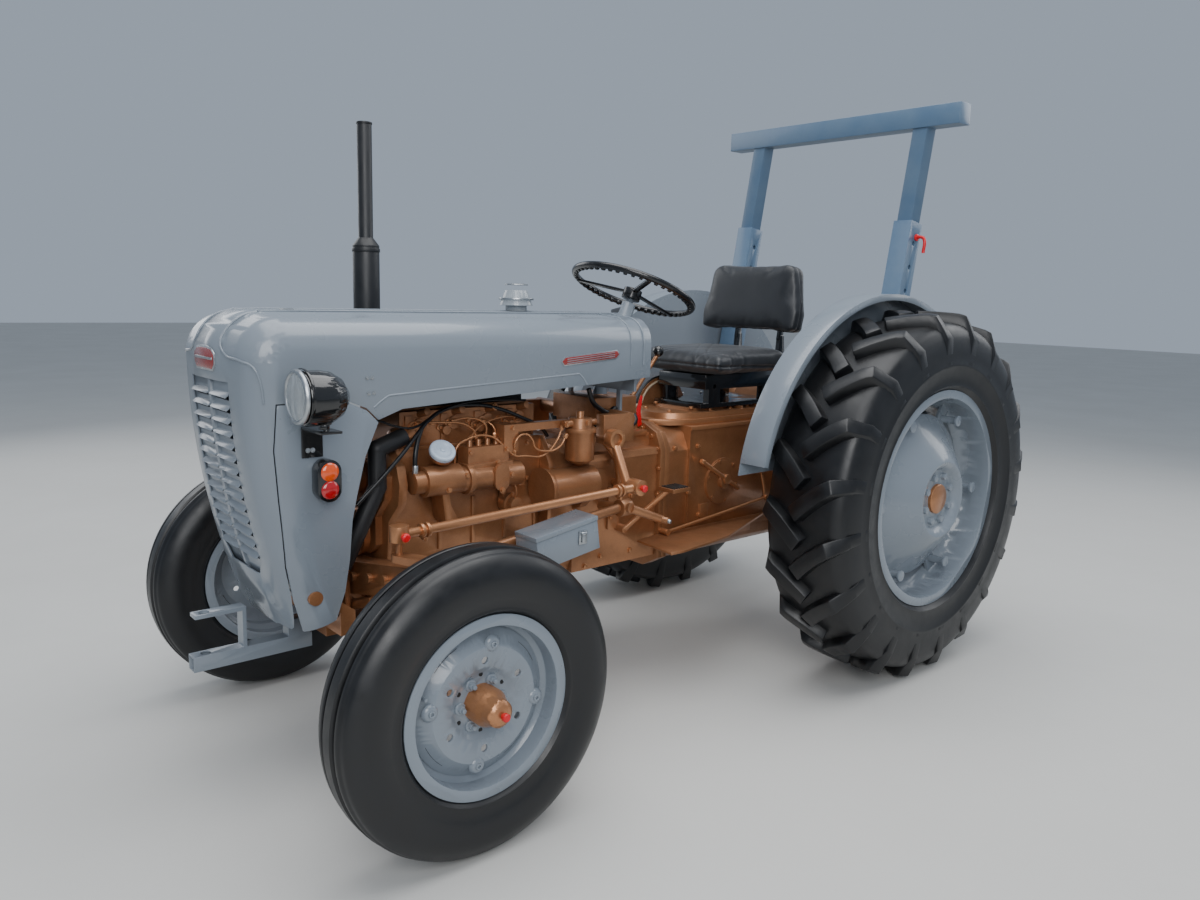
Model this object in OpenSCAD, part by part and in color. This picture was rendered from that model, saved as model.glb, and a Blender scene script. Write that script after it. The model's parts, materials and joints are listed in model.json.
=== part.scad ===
/* [Overall] */
// Distance between the two axles
wheelbase = 1829; // [1760:1:1900]
// Front end of the hitch beam, ahead of the front axle
hitch_overhang = 443; // [433:1:471]
// Rear end of the lower links, behind the rear axle
rear_reach = 777; // [740:1:820]
// Distance between the front tyres' middle planes
track_front = 1258; // [1240:1:1300]
// Distance between the rear tyres' middle planes
track_rear = 1250; // [1230:1:1300]

/* [Wheels] */
// Radius of a rear tyre over its lugs
rear_r = 645; // [620:1:660]
// Width of a rear tyre
rear_w = 322; // [300:1:330]
// Outer radius of a rear rim's flange
rear_rim_r = 381; // [370:1:390]
// Width of a rear rim over its flanges
rear_rim_w = 270; // [250:1:280]
// Height of the rear lugs above the tread
lug_h = 32; // [20:1:38]
// Number of lugs on each side of a rear tyre
lugs = 20; // [16:1:22]
// Radius of a front tyre
front_r = 372; // [360:1:380]
// Width of a front tyre
front_w = 170; // [150:1:175]
// Outer radius of a front rim's flange
front_rim_r = 222; // [215:1:228]
// Width of a front rim over its flanges
front_rim_w = 124; // [110:1:130]

/* [Bonnet] */
// Height of the bonnet's top line
bonnet_z = 1256; // [1240:1:1270]
// Half the bonnet's width
bonnet_hw = 245; // [235:1:250]
// Tip of the nose, ahead of the front axle
nose_overhang = 376; // [366:1:386]
// Rear edge of the bonnet, ahead of the rear axle
bonnet_rear_x = 920; // [900:1:930]
// Radius of the bonnet's shoulders
shoulder_r = 80; // [60:1:90]
// Thickness of the bonnet's sheet
sheet = 4; // [3:0.5:5]
// Gap round the bonnet's seams
seam = 3; // [2:0.5:6]

/* [Seat and steering] */
// Height of the seat cushion's top
seat_z = 1140; // [1120:1:1150]
// Width of the seat cushion
seat_w = 460; // [440:1:480]
// Radius of the steering wheel to its rim's middle
steer_r = 210; // [200:1:220]
// Lean of the steering column from upright, degrees
column_lean = 22; // [20:0.5:24]

/* [Rollbar] */
// Height of the rollbar's cross tube
rollbar_z = 2041; // [1980:1:2060]
// Length of the cross tube
rollbar_len = 1092; // [1000:1:1150]
// Distance between the two posts' middles
post_gap = 772; // [764:1:780]
// Rearward lean of the posts, degrees
post_lean = 10; // [8:0.5:11]

/* [Hidden] */

$fn = 48;
little = 0.5;

// The origin is on the ground under the middle of the overall length
front_reach = wheelbase + hitch_overhang;
rear_axle_x = -(front_reach - rear_reach) / 2;

// Places from the engine forwards are laid out with the front axle this far ahead of the rear one,
// and move with the front axle
layout_base = 1829;
front_shift = wheelbase - layout_base;
nose_x = layout_base + nose_overhang;
hitch_x = layout_base + hitch_overhang;
hood_rear_x = bonnet_rear_x - front_shift;

// Colours
GREY = "#9a9ea3";
COPPER = "#8f5a2c";
BLACK = "#1b1c1f";
RUBBER = "#222226";
BLUEGREY = "#6f8394";

// Shared places, measured from the rear axle
axle_z = rear_r;
front_z = front_r;
front_y = track_front / 2;
rear_y = track_rear / 2;
king_y = front_y - 124;
king_top = 655 + little;
fit = 0.05;
seat_gap = 0.3;

// Places of the steering linkage
ball_front = [wheelbase + 56, king_y - 130, 722];
ball_rear = [1086, king_y - 130, 748];
drop_pivot = [1086, 262, 880];

// Engine
block_rear = 1270;
block_front = 1760;
block_hw = 132;

// Moves a shape from the rear axle's frame to the part's frame
module place() {
    translate([rear_axle_x, 0, 0]) children();
}

// Moves a shape of the front half to the part's frame
module front_place() {
    translate([rear_axle_x + front_shift, 0, 0]) children();
}

// A copy on the left or on the right, side is 1 or -1
module sided(side) {
    if (side > 0) children();
    else mirror([0, 1, 0]) children();
}

// A box from its least corner to its greatest
module box(a, b) {
    translate(a) cube(b - a);
}

// Round bars along X, Y and Z, from one end to the other
module bar_x(r, x0, x1, y, z) {
    translate([x0, y, z]) rotate([0, 90, 0]) cylinder(r = r, h = x1 - x0);
}
module bar_y(r, y0, y1, x, z) {
    translate([x, y0, z]) rotate([-90, 0, 0]) cylinder(r = r, h = y1 - y0);
}
module bar_z(r, z0, z1, x, y) {
    translate([x, y, z0]) cylinder(r = r, h = z1 - z0);
}

// A round bar between two points
module rod(a, b, r) {
    d = b - a;
    len = norm(d);
    translate(a) rotate([0, acos(d[2] / len), atan2(d[1], d[0])]) cylinder(r = r, h = len);
}

// An outline drawn in X and Z, made solid from y0 to y1
module side_slab(y0, y1) {
    translate([0, y1, 0]) rotate([90, 0, 0]) linear_extrude(y1 - y0) children();
}

// An outline drawn in Y and Z, made solid from x0 to x1
module cross_slab(x0, x1) {
    translate([x0, 0, 0]) rotate([90, 0, 90]) linear_extrude(x1 - x0) children();
}

// An outline drawn in X and Y, made solid from z0 to z1
module top_slab(z0, z1) {
    translate([0, 0, z0]) linear_extrude(z1 - z0) children();
}

// A profile of offset along Y and radius, turned about the axle at x, y, z
module wheel_turn(x, y, z, side, steps = 96) {
    translate([x, y, z]) rotate([-90 * side, 0, 0]) rotate_extrude($fn = steps) children();
}

// Points of an arc, from one angle to another
function arc(cx, cy, r, a0, a1, n) = [for (i = [0:n]) let (a = a0 + (a1 - a0) * i / n) [cx + r * cos(a),
    cy + r * sin(a)]];

// Tyres and rims. A profile's first number is the radius, its second the offset outward.
flange_h = 22;
front_rim_t = 5;
rear_rim_t = 7;
tyre_steps = 40;

module front_tyre(side) {
    w = front_w / 2;
    seat_r = front_rim_r - flange_h + seat_gap;
    bead_y = front_rim_w / 2 - front_rim_t - seat_gap;
    groove = 9;
    // Bead, wall, shoulder, side rib, groove and middle rib
    half = [
        [seat_r, bead_y], [front_rim_r + 1, bead_y], [front_r * 0.8, w], [front_r * 0.94, w * 0.88],
        [front_r - 4, w * 0.56], [front_r - 4, w * 0.36], [front_r - 4 - groove, w * 0.33],
        [front_r - 4 - groove, w * 0.22], [front_r, w * 0.18], [front_r, 0]
    ];
    place() color(RUBBER) wheel_turn(wheelbase, side * front_y, front_z, side, tyre_steps)
        polygon(both_halves(half));
}

// Half profile of the rear tyre's carcass, from the bead out to the crown, and of the lugs over it
function tyre_half(seat_r, bead_y, tread_r, w) = [
    [seat_r, bead_y], [rear_rim_r + 2, bead_y], [rear_r * 0.74, w], [tread_r * 0.95, w * 0.95],
    [tread_r - 8, w * 0.8], [tread_r, 0]
];

// Both halves of a profile, given its outer half
function both_halves(half) = concat([for (p = half) [p[0], -p[1]]], [for (i = [len(half) - 2:-1:0]) half[i]]);

// One lug, from the crown to the shoulder, seen from outside: along the tread and across it
lug_outline = [[19, -0.06], [-31, -0.06], [-105, 0.5], [-141, 0.76], [-168, 1.02], [-112, 1.02], [-88, 0.76],
    [-55, 0.5]];

module rear_tyre(side) {
    w = rear_w / 2;
    seat_r = rear_rim_r - flange_h + seat_gap;
    bead_y = rear_rim_w / 2 - rear_rim_t - seat_gap;
    tread_r = rear_r - lug_h;
    step = 360 / lugs;
    place() color(RUBBER) union() {
        wheel_turn(0, side * rear_y, axle_z, side, tyre_steps)
            polygon(both_halves(tyre_half(seat_r, bead_y, tread_r, w)));
        translate([0, side * rear_y, axle_z]) intersection() {
            rotate([-90 * side, 0, 0]) rotate_extrude($fn = tyre_steps) polygon(both_halves([
                [rear_r * 0.86, w], [rear_r - 12, w * 0.93], [rear_r, w * 0.4], [rear_r, 0]]));
            union() {
                for (s = [-1, 1])
                    for (i = [0:lugs - 1])
                        sided(s) rotate([0, (i + (s > 0 ? 0 : 0.5)) * step, 0])
                            translate([0, 0, tread_r - 60]) linear_extrude(150)
                                polygon([for (p = lug_outline) [p[0], p[1] * w]]);
            }
        }
    }
}

// A rim's ring: flanges, bead seats and drop centre, t thick
module rim_ring(r, w, drop, t) {
    h = w / 2;
    bed = r - flange_h - 2;
    polygon([
        [r, -h], [r, -h + t], [r - flange_h, -h + t], [bed, -h * 0.45], [bed - drop, -h * 0.3],
        [bed - drop, h * 0.1], [bed, h * 0.25], [r - flange_h, h - t], [r, h - t], [r, h],
        [r - flange_h - t, h], [bed - t, h * 0.25 + t], [bed - drop - t, h * 0.1 + t / 2],
        [bed - drop - t, -h * 0.3 - t / 2], [bed - t, -h * 0.45 - t], [r - flange_h - t, -h]
    ]);
}

module front_rim(side) {
    nuts = 6;
    disc_y = 22;
    place() color(GREY) difference() {
        union() {
            wheel_turn(wheelbase, side * front_y, front_z, side)
                rim_ring(front_rim_r, front_rim_w, 16, front_rim_t);
            wheel_turn(wheelbase, side * front_y, front_z, side) polygon([
                [24, disc_y], [72, disc_y], [92, disc_y + 16], [140, disc_y + 20], [172, disc_y - 6],
                [179, disc_y - 8], [179, disc_y - 14], [170, disc_y - 13], [139, disc_y + 13],
                [94, disc_y + 9], [74, disc_y - 7], [24, disc_y - 7]
            ]);
            wheel_turn(wheelbase, side * front_y, front_z, side) polygon([
                [17, -58], [40, -58], [40, -20], [62, -14], [62, disc_y - 6], [46, disc_y - 6],
                [46, disc_y + 40], [36, disc_y + 62], [32, 104], [22, 112], [0, 112], [0, 100], [17, 100]
            ]);
            for (i = [0:nuts - 1])
                translate([wheelbase, side * front_y, front_z]) rotate([0, i * 360 / nuts, 0])
                    translate([57, side * (disc_y - 2), 0]) rotate([-90 * side, 0, 0])
                        cylinder(r = 9, h = 16, $fn = 6);
        }
        for (i = [0:nuts - 1])
            translate([wheelbase, side * front_y, front_z]) rotate([0, (i + 0.5) * 360 / nuts, 0])
                translate([108, side * disc_y, 0]) rotate([90, 0, 0]) cylinder(r = 9, h = 80, center = true);
    }
}

module rear_rim(side) {
    nuts = 8;
    clamps = 6;
    bed_in = rear_rim_r - flange_h - 29;
    place() color(GREY) union() {
        wheel_turn(0, side * rear_y, axle_z, side) rim_ring(rear_rim_r, rear_rim_w, 20, rear_rim_t);
        // Dished disc, with the hub plate sunk behind its crest
        wheel_turn(0, side * rear_y, axle_z, side) polygon([
            [50, 124], [100, 124], [112, 138], [122, 148], [133, 151], [146, 144], [180, 121], [220, 89],
                [260, 59],
            [288, 44], [288, 37], [257, 52], [217, 82], [177, 114], [142, 137], [132, 143], [125, 141],
                [117, 132],
            [104, 116], [50, 116]
        ]);
        // Axle end and its flange
        wheel_turn(0, side * rear_y, axle_z, side) polygon([
            [0, -110], [52, -110], [52, 98], [104, 102], [104, 117], [52, 118], [52, 134], [48, 137],
                [0, 137]]);
        for (i = [0:nuts - 1])
            translate([0, side * rear_y, axle_z]) rotate([0, (i + 0.5) * 360 / nuts, 0])
                translate([82, side * 122, 0]) rotate([-90 * side, 0, 0]) cylinder(r = 13, h = 16, $fn = 6);
        // Clamps that hold the disc to the rim, with their spacer tubes
        for (i = [0:clamps - 1])
            translate([0, side * rear_y, axle_z]) rotate([0, i * 360 / clamps, 0]) sided(side) {
                translate([272, 27, -26]) cube([bed_in - 256, 11, 52]);
                bar_y(13, 36, 98, 300, 0);
                bar_y(19, 96, 104, 300, 0);
            }
    }
}

// Bonnet and side panels. One half outline serves the shoulders and the nose's corners.

nose_arc_r = 2000;
nose_arc_x = nose_x - nose_arc_r;
tip_z = 1140;
top_r = bonnet_z - tip_z;
top_x = nose_x - top_r;
nose_bottom_z = 455;
nose_sweep = asin((tip_z - nose_bottom_z) / nose_arc_r);
seam_z = 1044;

// The nose's middle line at a height
function nose_front(z) = nose_arc_x + sqrt(nose_arc_r * nose_arc_r - (tip_z - z) * (tip_z - z));

// The bonnet's hinge pins, low in the cheeks
hinge_x = 2044;
hinge_z = 555;
hinge_r = 18;

// The seam between nose and side panel: a height and how far it lies behind the nose's middle line
nose_seam = [[933, 57], [811, 50], [643, 32], [554, 25]];
strip_hw = 88;
strip_h = 4;

// Half width at the shoulder against distance out from a datum, as a thin strip or a slice.
// The first number of each point is out from the datum, the second is across.
module shell_strip(out, t, skirt) {
    r = shoulder_r;
    crown = 10;
    hw = bonnet_hw;
    flat = hw - r;
    outer = concat([[-skirt, hw]], arc(out - r - crown, flat, r, 90, 12, 7), [[out - strip_h, strip_hw + 6]],
        [[out, strip_hw]], [[out, 0]]);
    inner = concat([[out - t, 0]], [[out - t, strip_hw - 2]], [[out - strip_h - t, strip_hw + 5]],
        arc(out - r - crown, flat, r - t, 12, 90, 7), [[-skirt, hw - t]]);
    half = concat(outer, inner);
    polygon(half);
    polygon([for (p = half) [p[0], -p[1]]]);
}

// The whole sheet skin of bonnet, nose and side panels, before it is cut along its seams
module skin() {
    union() {
        translate([hood_rear_x, 0, tip_z]) rotate([0, -90, 0]) mirror([0, 0, 1])
            linear_extrude(top_x - hood_rear_x) shell_strip(top_r, sheet, 0);
        translate([top_x, 0, tip_z]) rotate([90, 0, 0]) rotate_extrude(angle = 90, $fn = 96)
            intersection() {
                shell_strip(top_r, sheet, 0);
                translate([0, -400]) square([400, 800]);
            }
        translate([nose_arc_x, 0, tip_z]) rotate([90, 0, 0]) rotate([0, 0, -nose_sweep])
            rotate_extrude(angle = nose_sweep, $fn = 720) translate([nose_arc_r - top_r, 0])
                shell_strip(top_r, sheet, 0);
        for (s = [-1, 1])
            sided(s) side_slab(bonnet_hw - sheet, bonnet_hw) polygon(concat(
                [[hood_rear_x, tip_z], [hood_rear_x, nose_bottom_z]],
                arc(nose_arc_x, tip_z, nose_arc_r - top_r + 1, -nose_sweep, 0, 12)));
    }
}

// Side outlines that the seams follow, in X and Z
hood_low = [[hood_rear_x - 10, 1062], [1800, 1014], [1868, 990], [1900, 1022], [1960, seam_z + 2],
    [nose_front(seam_z) - 73, seam_z]];
panel_rear = [[1868, 986], [1905, 900], [1930, 800], [1943, 740], [1952, 640], [1966, 560]];
panel_front = concat([[nose_front(seam_z) - 73 - seam, seam_z - seam]],
    [for (p = nose_seam) [nose_front(p[0]) - p[1] - seam, p[0]]], [[2062, 462]]);

module bonnet() {
    front_place() color(GREY) difference() {
        intersection() {
            skin();
            side_slab(-300, 300) polygon(concat(hood_low, [for (p = nose_seam) [nose_front(p[0]) - p[1],
                p[0]]],
                [[nose_front(nose_bottom_z) - 10, nose_bottom_z], [nose_x + 95, nose_bottom_z - 15],
                [nose_x + 95, bonnet_z + 44], [hood_rear_x - 10, bonnet_z + 44]]));
        }
        // The grille's opening
        cross_slab(2050, 2300) polygon([[-128, 1088], [128, 1088], [128, 640], [100, 600], [-100, 600],
            [-128, 640]]);
    }
    // Tabs that hold the side panels
    front_place() color(GREY) for (s = [-1, 1])
        sided(s) {
            box([1985, bonnet_hw - sheet - 5, seam_z - 26], [2050, bonnet_hw - sheet - seat_gap,
                seam_z + 24]);
            box([1985, bonnet_hw - sheet - 5, seam_z + 6], [2050, bonnet_hw - sheet + little, seam_z + 24]);
        }
}

module side_panel(side) {
    front_place() color(GREY) difference() {
        intersection() {
            skin();
            sided(side) side_slab(60, 300) polygon(concat(
                [[1868, 984], [1900, 1016], [1960, seam_z - seam + 2]], panel_front,
                [[2040, 452], [1995, 478]], [for (i = [5:-1:1]) panel_rear[i]]));
        }
        sided(side) bar_y(hinge_r, bonnet_hw - 50, bonnet_hw + 50, hinge_x, hinge_z);
    }
}

// The grille's plate lies this far behind the nose's crown, against the sheet's back at its edges
grille_set = 12.4;
grille_hw = 140;
louvres = 14;
louvre_top = 2.6;
louvre_low = 14.4;

// A place on the nose's arc, at an angle below its tip and a distance in from the crown
module on_arc(angle, inward) {
    translate([nose_arc_x, 0, tip_z]) rotate([0, angle, 0]) translate([nose_arc_r - inward, 0, 0]) children();
}

module grille() {
    t = 6;
    slot_w = 104;
    slot_h = 15;
    slot_y = 64;
    pitch = (louvre_low - louvre_top) / (louvres - 1);
    front_place() color(GREY) union() {
        difference() {
            intersection() {
                translate([nose_arc_x, 0, tip_z]) rotate([90, 0, 0]) rotate([0, 0, -nose_sweep])
                    rotate_extrude(angle = nose_sweep, $fn = 720)
                        translate([nose_arc_r - grille_set - t, -grille_hw]) square([t, 2 * grille_hw]);
                cross_slab(2050, 2300) polygon([[-grille_hw, 1100], [grille_hw, 1100], [grille_hw, 636],
                    [106, 588],
                    [-106, 588], [-grille_hw, 636]]);
            }
            for (i = [0:louvres - 1])
                for (s = [-1, 1])
                    on_arc(louvre_top + i * pitch, grille_set)
                        translate([-20, s * slot_y - slot_w / 2, -slot_h / 2]) cube([40, slot_w, slot_h]);
        }
        // Hooded slats over the slots
        for (i = [0:louvres - 1])
            for (s = [-1, 1])
                on_arc(louvre_top + i * pitch, grille_set) translate([-2, s * slot_y - slot_w / 2 - 4,
                    slot_h / 2 + 3])
                    rotate([0, 40, 0]) cube([17, slot_w + 8, 3]);
        // Middle bar
        intersection() {
            translate([nose_arc_x, 0, tip_z]) rotate([90, 0, 0]) rotate([0, 0, -nose_sweep])
                rotate_extrude(angle = nose_sweep, $fn = 720)
                    translate([nose_arc_r - grille_set - 2, -9]) square([9, 18]);
            box([2050, -20, 592], [2300, 20, 1086]);
        }
    }
}

lamp_x = 2112;
lamp_y = 339;
lamp_z = 1066;

module headlamp(side) {
    front_place() color(BLACK) sided(side) union() {
        translate([lamp_x, lamp_y, lamp_z]) rotate([0, -90, 0]) rotate_extrude() polygon([
            [0, 2], [50, 0], [62, 2], [64, 12], [64, 46], [60, 70], [46, 94], [24, 110], [0, 114]]);
        bar_z(7, lamp_z - 84, lamp_z - 60, lamp_x - 62, lamp_y);
        box([lamp_x - 92, bonnet_hw + little, lamp_z - 84], [lamp_x - 40, lamp_y + 20, lamp_z - 78]);
        box([lamp_x - 92, bonnet_hw + little, lamp_z - 154], [lamp_x - 40, bonnet_hw + 6, lamp_z - 80]);
    }
}

module indicator(side) {
    front_place() color(BLACK) sided(side) union() {
        for (dz = [-22, 22])
            bar_y(30, bonnet_hw + little, bonnet_hw + 38, 2018, 856 + dz);
        box([1988, bonnet_hw + little, 834], [2048, bonnet_hw + 38, 878]);
    }
}

// Engine

head_z = 888;
cover_z = 985;
bores = 4;
bore_gap = 112;
first_bore_x = 1345;
port_hw = 136;

// A row of places along X, one for each cylinder
module each_bore() {
    for (i = [0:bores - 1])
        translate([first_bore_x + i * bore_gap, 0, 0]) children();
}

module engine() {
    front_place() color(COPPER) union() {
        // Crankcase, drawn in at the sump, with a rail along its foot
        cross_slab(block_rear, block_front) polygon([[-block_hw, 575], [-block_hw + 14, 560],
            [block_hw - 14, 560],
            [block_hw, 575], [block_hw, head_z + 1], [-block_hw, head_z + 1]]);
        cross_slab(block_rear + 20, block_front - 60) polygon([[-112, 562], [-104, 470], [-80, 424],
            [80, 424], [104, 470],
            [112, 562]]);
        box([block_rear + 10, -block_hw - 8, 545], [block_front - 8, block_hw + 8, 557]);
        // Ribs down the crankcase
        for (s = [-1, 1])
            sided(s) each_bore() box([-62, block_hw - 4, 590], [-50, block_hw + 7, 730]);
        // Cylinder head, its gasket line, and the rocker cover with its flange
        box([block_rear + 8, -block_hw - 3, head_z - 6], [block_front - 12, block_hw + 3, head_z + 3]);
        box([block_rear + 15, -112, head_z], [block_front - 20, 118, cover_z + 1]);
        box([block_rear + 25, -84, cover_z], [block_front - 32, 88, cover_z + 8]);
        cross_slab(block_rear + 32, block_front - 42) polygon([[-72, cover_z + 6], [78, cover_z + 6],
            [76, 1022],
            [62, 1040], [-56, 1040], [-70, 1022]]);
        each_bore() {
            // Injector with its clamp and bosses on the head's face
            rod([0, 92, cover_z - 12], [-10, 150, cover_z + 3], 11);
            bar_y(19, 110, 127, 0, 948);
            bar_y(13, 110, 140, 34, 930);
            box([22, 110, 892], [44, 124, 975]);
            // Ports on the other side
            box([-40, -port_hw, 905], [40, -108, 958]);
        }
        // Timing case with the pump drive's bulge and the bolts' rim
        cross_slab(block_front - 1, block_front + 24) polygon([[-118, 530], [-70, 500], [70, 500],
            [118, 530], [132, 690],
            [186, 745], [196, 800], [180, 850], [130, 880], [-112, 880], [-128, 760]]);
        cross_slab(block_front + 22, block_front + 44) polygon([[-96, 620], [-60, 590], [60, 590],
            [96, 620], [96, 700],
            [150, 760], [156, 820], [104, 850], [-84, 850], [-96, 740]]);
        bar_x(66, block_front + 40, block_front + 62, 0, 640);
        bar_x(48, block_front + 40, block_front + 94, 0, 800);
        bar_x(62, block_front + 66, block_front + 84, 0, 800);
        // Water outlet
        bar_y(26, 100, 136, 1745, 918);
        // Dynamo on the far side
        bar_x(58, 1430, 1660, -206, 650);
        bar_x(48, 1658, 1680, -206, 650);
        box([1500, -170, 600], [1560, -130, 660]);
        // Oil filter bowl on the far side
        bar_z(44, 560, 700, 1350, -190);
        box([1330, -190, 650], [1370, -130, 690]);
    }
}

module injection_set() {
    y0 = block_hw + 7 + little;
    pump_y = y0 + 50;
    front_place() color(COPPER) union() {
        // Pump body on its shaft line, with the drive end and the governor's cover
        bar_x(36, 1392, 1600, pump_y, 796);
        bar_x(43, 1560, 1580, pump_y, 796);
        bar_x(42, 1600, 1712, pump_y, 802);
        bar_x(31, 1710, 1744, pump_y, 802);
        box([1425, y0, 790], [1580, pump_y + 20, 838]);
        box([1432, y0 + 4, 836], [1570, pump_y + 8, 884]);
        for (i = [0:3])
            bar_z(8, 880, 902, 1458 + i * 30, y0 + 30);
        // Inspection window on the pump's face
        bar_y(24, pump_y + 30, pump_y + 44, 1478, 812);
        bar_y(24, pump_y + 30, pump_y + 44, 1478, 782);
        box([1454, pump_y + 20, 782], [1502, pump_y + 44, 812]);
        // Lift pump with its lever, low and to the rear
        bar_y(30, y0, y0 + 34, 1400, 700);
        bar_y(22, y0 + 30, y0 + 58, 1400, 700);
        box([1376, y0, 690], [1424, y0 + 18, 770]);
        // Bracket straps that carry the governor
        side_slab(y0, pump_y + 14) polygon([[1640, 800], [1662, 800], [1648, 690], [1620, 660],
            [1608, 690], [1630, 730]]);
        box([1380, y0, 760], [1400, pump_y + 16, 812]);
        // Oil filler neck and cap
        rod([1650, y0 + 6, 830], [1656, 196, 878], 15);
        rod([1655, 190, 870], [1657, 204, 886], 34);
        // Fuel filter bowl under its head, on a bracket
        bar_z(45, 818, 905, 1180, 214);
        translate([1180, 214, 806]) cylinder(r1 = 28, r2 = 45, h = 13);
        bar_z(50, 903, 916, 1180, 214);
        bar_z(36, 914, 946, 1180, 214);
        bar_z(12, 944, 966, 1180, 214);
        bar_x(11, 1120, 1246, 214, 930);
        box([1180, 172, 918], [1430, 200, 940]);
        box([1400, y0, 860], [1450, 200, 940]);
    }
}

case_joint_x = 765;
case_hw = 158;

// The outline of the joint between gearbox and rear housing, grown by a rim
function joint_outline(g) = [[-104, 402 - g], [104, 402 - g], [case_hw + g, 440 - g], [case_hw + g, 790 + g],
    [132 + g, 846 + g], [86, 872 + g], [-86, 872 + g], [-132 - g, 846 + g], [-case_hw - g, 790 + g],
    [-case_hw - g, 440 - g]];

module gearbox() {
    bell_end = block_rear + front_shift - little;
    bell_x = bell_end - 120;
    place() color(COPPER) union() {
        // Bell housing with its flange to the engine
        cross_slab(bell_x, bell_end) polygon([[-128, 432], [128, 432], [158, 500], [162, 800], [120, 872],
            [-120, 872], [-162, 800], [-158, 500]]);
        cross_slab(bell_end - 18, bell_end) polygon([[-140, 424], [140, 424], [174, 500], [178, 806],
            [128, 888], [-128, 888], [-178, 806], [-174, 500]]);
        // Case, with a ledge along its shoulders and a raised top
        box([case_joint_x + little, -154, 436], [bell_x + 2, 154, 804]);
        box([case_joint_x + 20, -160, 790], [1120, 160, 812]);
        box([case_joint_x + 10, -112, 800], [1100, 112, 858]);
        box([case_joint_x + 40, -122, 852], [1060, 122, 868]);
        box([830, -90, 864], [1030, 90, 905]);
        // Gear lever in its turret
        translate([803, 36, 864]) cylinder(r1 = 34, r2 = 22, h = 56);
        rod([801, 38, 900], [801, 38, 982], 10);
        rod([801, 38, 974], [687, 40, 1116], 7);
        translate([687, 40, 1126]) sphere(r = 20);
        // Joint rim to the rear housing
        cross_slab(case_joint_x + little, case_joint_x + 22) polygon(joint_outline(14));
        // Starter, seated in the bell housing's bulge
        bar_x(56, bell_x - 22, bell_end + 30, 206, 738);
        translate([bell_end + 29, 206, 738]) rotate([0, 90, 0]) cylinder(r1 = 60, r2 = 66, h = 20);
        cross_slab(bell_x - 22, bell_x + 10) polygon([[140, 640], [190, 660], [250, 720], [250, 770],
            [190, 800], [140, 800]]);
        // Side cover, its boss, and the sump's foot
        bar_y(46, 150, 166, 1062, 720);
        box([900, 150, 560], [1010, 164, 700]);
        box([880, -100, 420], [1120, 100, 440]);
        for (s = [-1, 1])
            sided(s) union() {
                // Clamp of the radius rod, and the foot peg that stands out from it
                rod([1033, 130, 640], [1033, 300, 660], 16);
                bar_x(27, 1012, 1054, 262, 656);
                rod([1033, 296, 659], [900, 300, 606], 14);
                rod([905, 300, 608], [898, 330, 606], 11);
                // Pedal on its bent arm
                rod([960, 130, 560], [960, 196, 560], 14);
                rod([960, 190, 560], [830, 262, 690], 9);
                box([770, 230, 684], [850, 300, 696]);
            }
    }
}

module rear_housing() {
    front = case_joint_x - little;
    place() color(COPPER) union() {
        difference() {
            union() {
                // Upper case, its shoulders rounded off towards the front
                cross_slab(-160, 640) polygon([[-150, 470], [150, 470], [168, 500], [168, 872],
                    [-168, 872], [-168, 500]]);
                cross_slab(620, front) polygon(joint_outline(0));
                cross_slab(front - 22, front) polygon(joint_outline(14));
                // Seats of the axle trumpets
                bar_y(148, -168, -160, 0, axle_z);
                bar_y(148, 160, 168, 0, axle_z);
            }
            bar_y(60 + little, -200, 200, 0, axle_z);
        }
        // Sump, rounded below
        cross_slab(80, front - 20) polygon([[-150, 474], [-142, 430], [-110, 402], [110, 402], [142, 430],
            [150, 474]]);
        box([60, -172, 858], [640, 172, 871]);
        for (s = [-1, 1])
            sided(s) union() {
                // Round side cover with its boss
                bar_y(80, 166, 178, 476, 660);
                bar_y(22, 176, 196, 476, 660);
                box([540, 160, 540], [580, 176, 590]);
            }
        // Power take-off cap and shaft
        bar_x(62, -172, -158, 0, 540);
        bar_x(17.45, -250, -170, 0, 540);
        // Pivots of the lower links
        for (s = [-1, 1])
            sided(s) union() {
                box([link_pivot[0] - 22, 130, link_pivot[1] - 24], [link_pivot[0] + 26, 166, 480]);
                bar_y(12.5 - fit, 160, 236, link_pivot[0], link_pivot[1]);
            }
        // Lugs for the top link
        for (s = [-1, 1])
            difference() {
                box([-230, s * 38 - 9, 690], [-158, s * 38 + 9, 760]);
                bar_y(9.6, -60, 60, -206, 724);
            }
    }
}

module lift_cover() {
    z0 = 872 + little;
    place() color(COPPER) difference() {
        union() {
            top_slab(z0, z0 + 20) polygon([[-60, -150], [600, -150], [690, -110], [740, -60], [740, 60],
                [690, 110],
                [600, 150], [-60, 150]]);
            top_slab(z0 + 18, z0 + 40) polygon([[-60, -136], [590, -136], [670, -96], [700, -50], [700, 50],
                [670, 96], [590, 136], [-60, 136]]);
            // Ram cylinder's hump, the response cover and its ribs
            bar_x(50, 20, 330, 0, z0);
            box([360, -92, z0 + 38], [560, 92, z0 + 50]);
            for (x = [120, 220, 320])
                box([x, -128, z0 + 38], [x + 14, 128, z0 + 50]);
            // Housing of the lift shaft
            box([-100, -120, z0 + 10], [40, 120, z0 + 50]);
            bar_y(58, -196, 196, lift_pivot[0], lift_pivot[1]);
            // Half disc of the lift's lever guide
            bar_y(128, -160, -146, 475, 885);
        }
        bar_y(24 + fit, -260, 260, lift_pivot[0], lift_pivot[1]);
        box([-300, -260, z0 - 160], [800, 260, z0]);
    }
}

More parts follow.
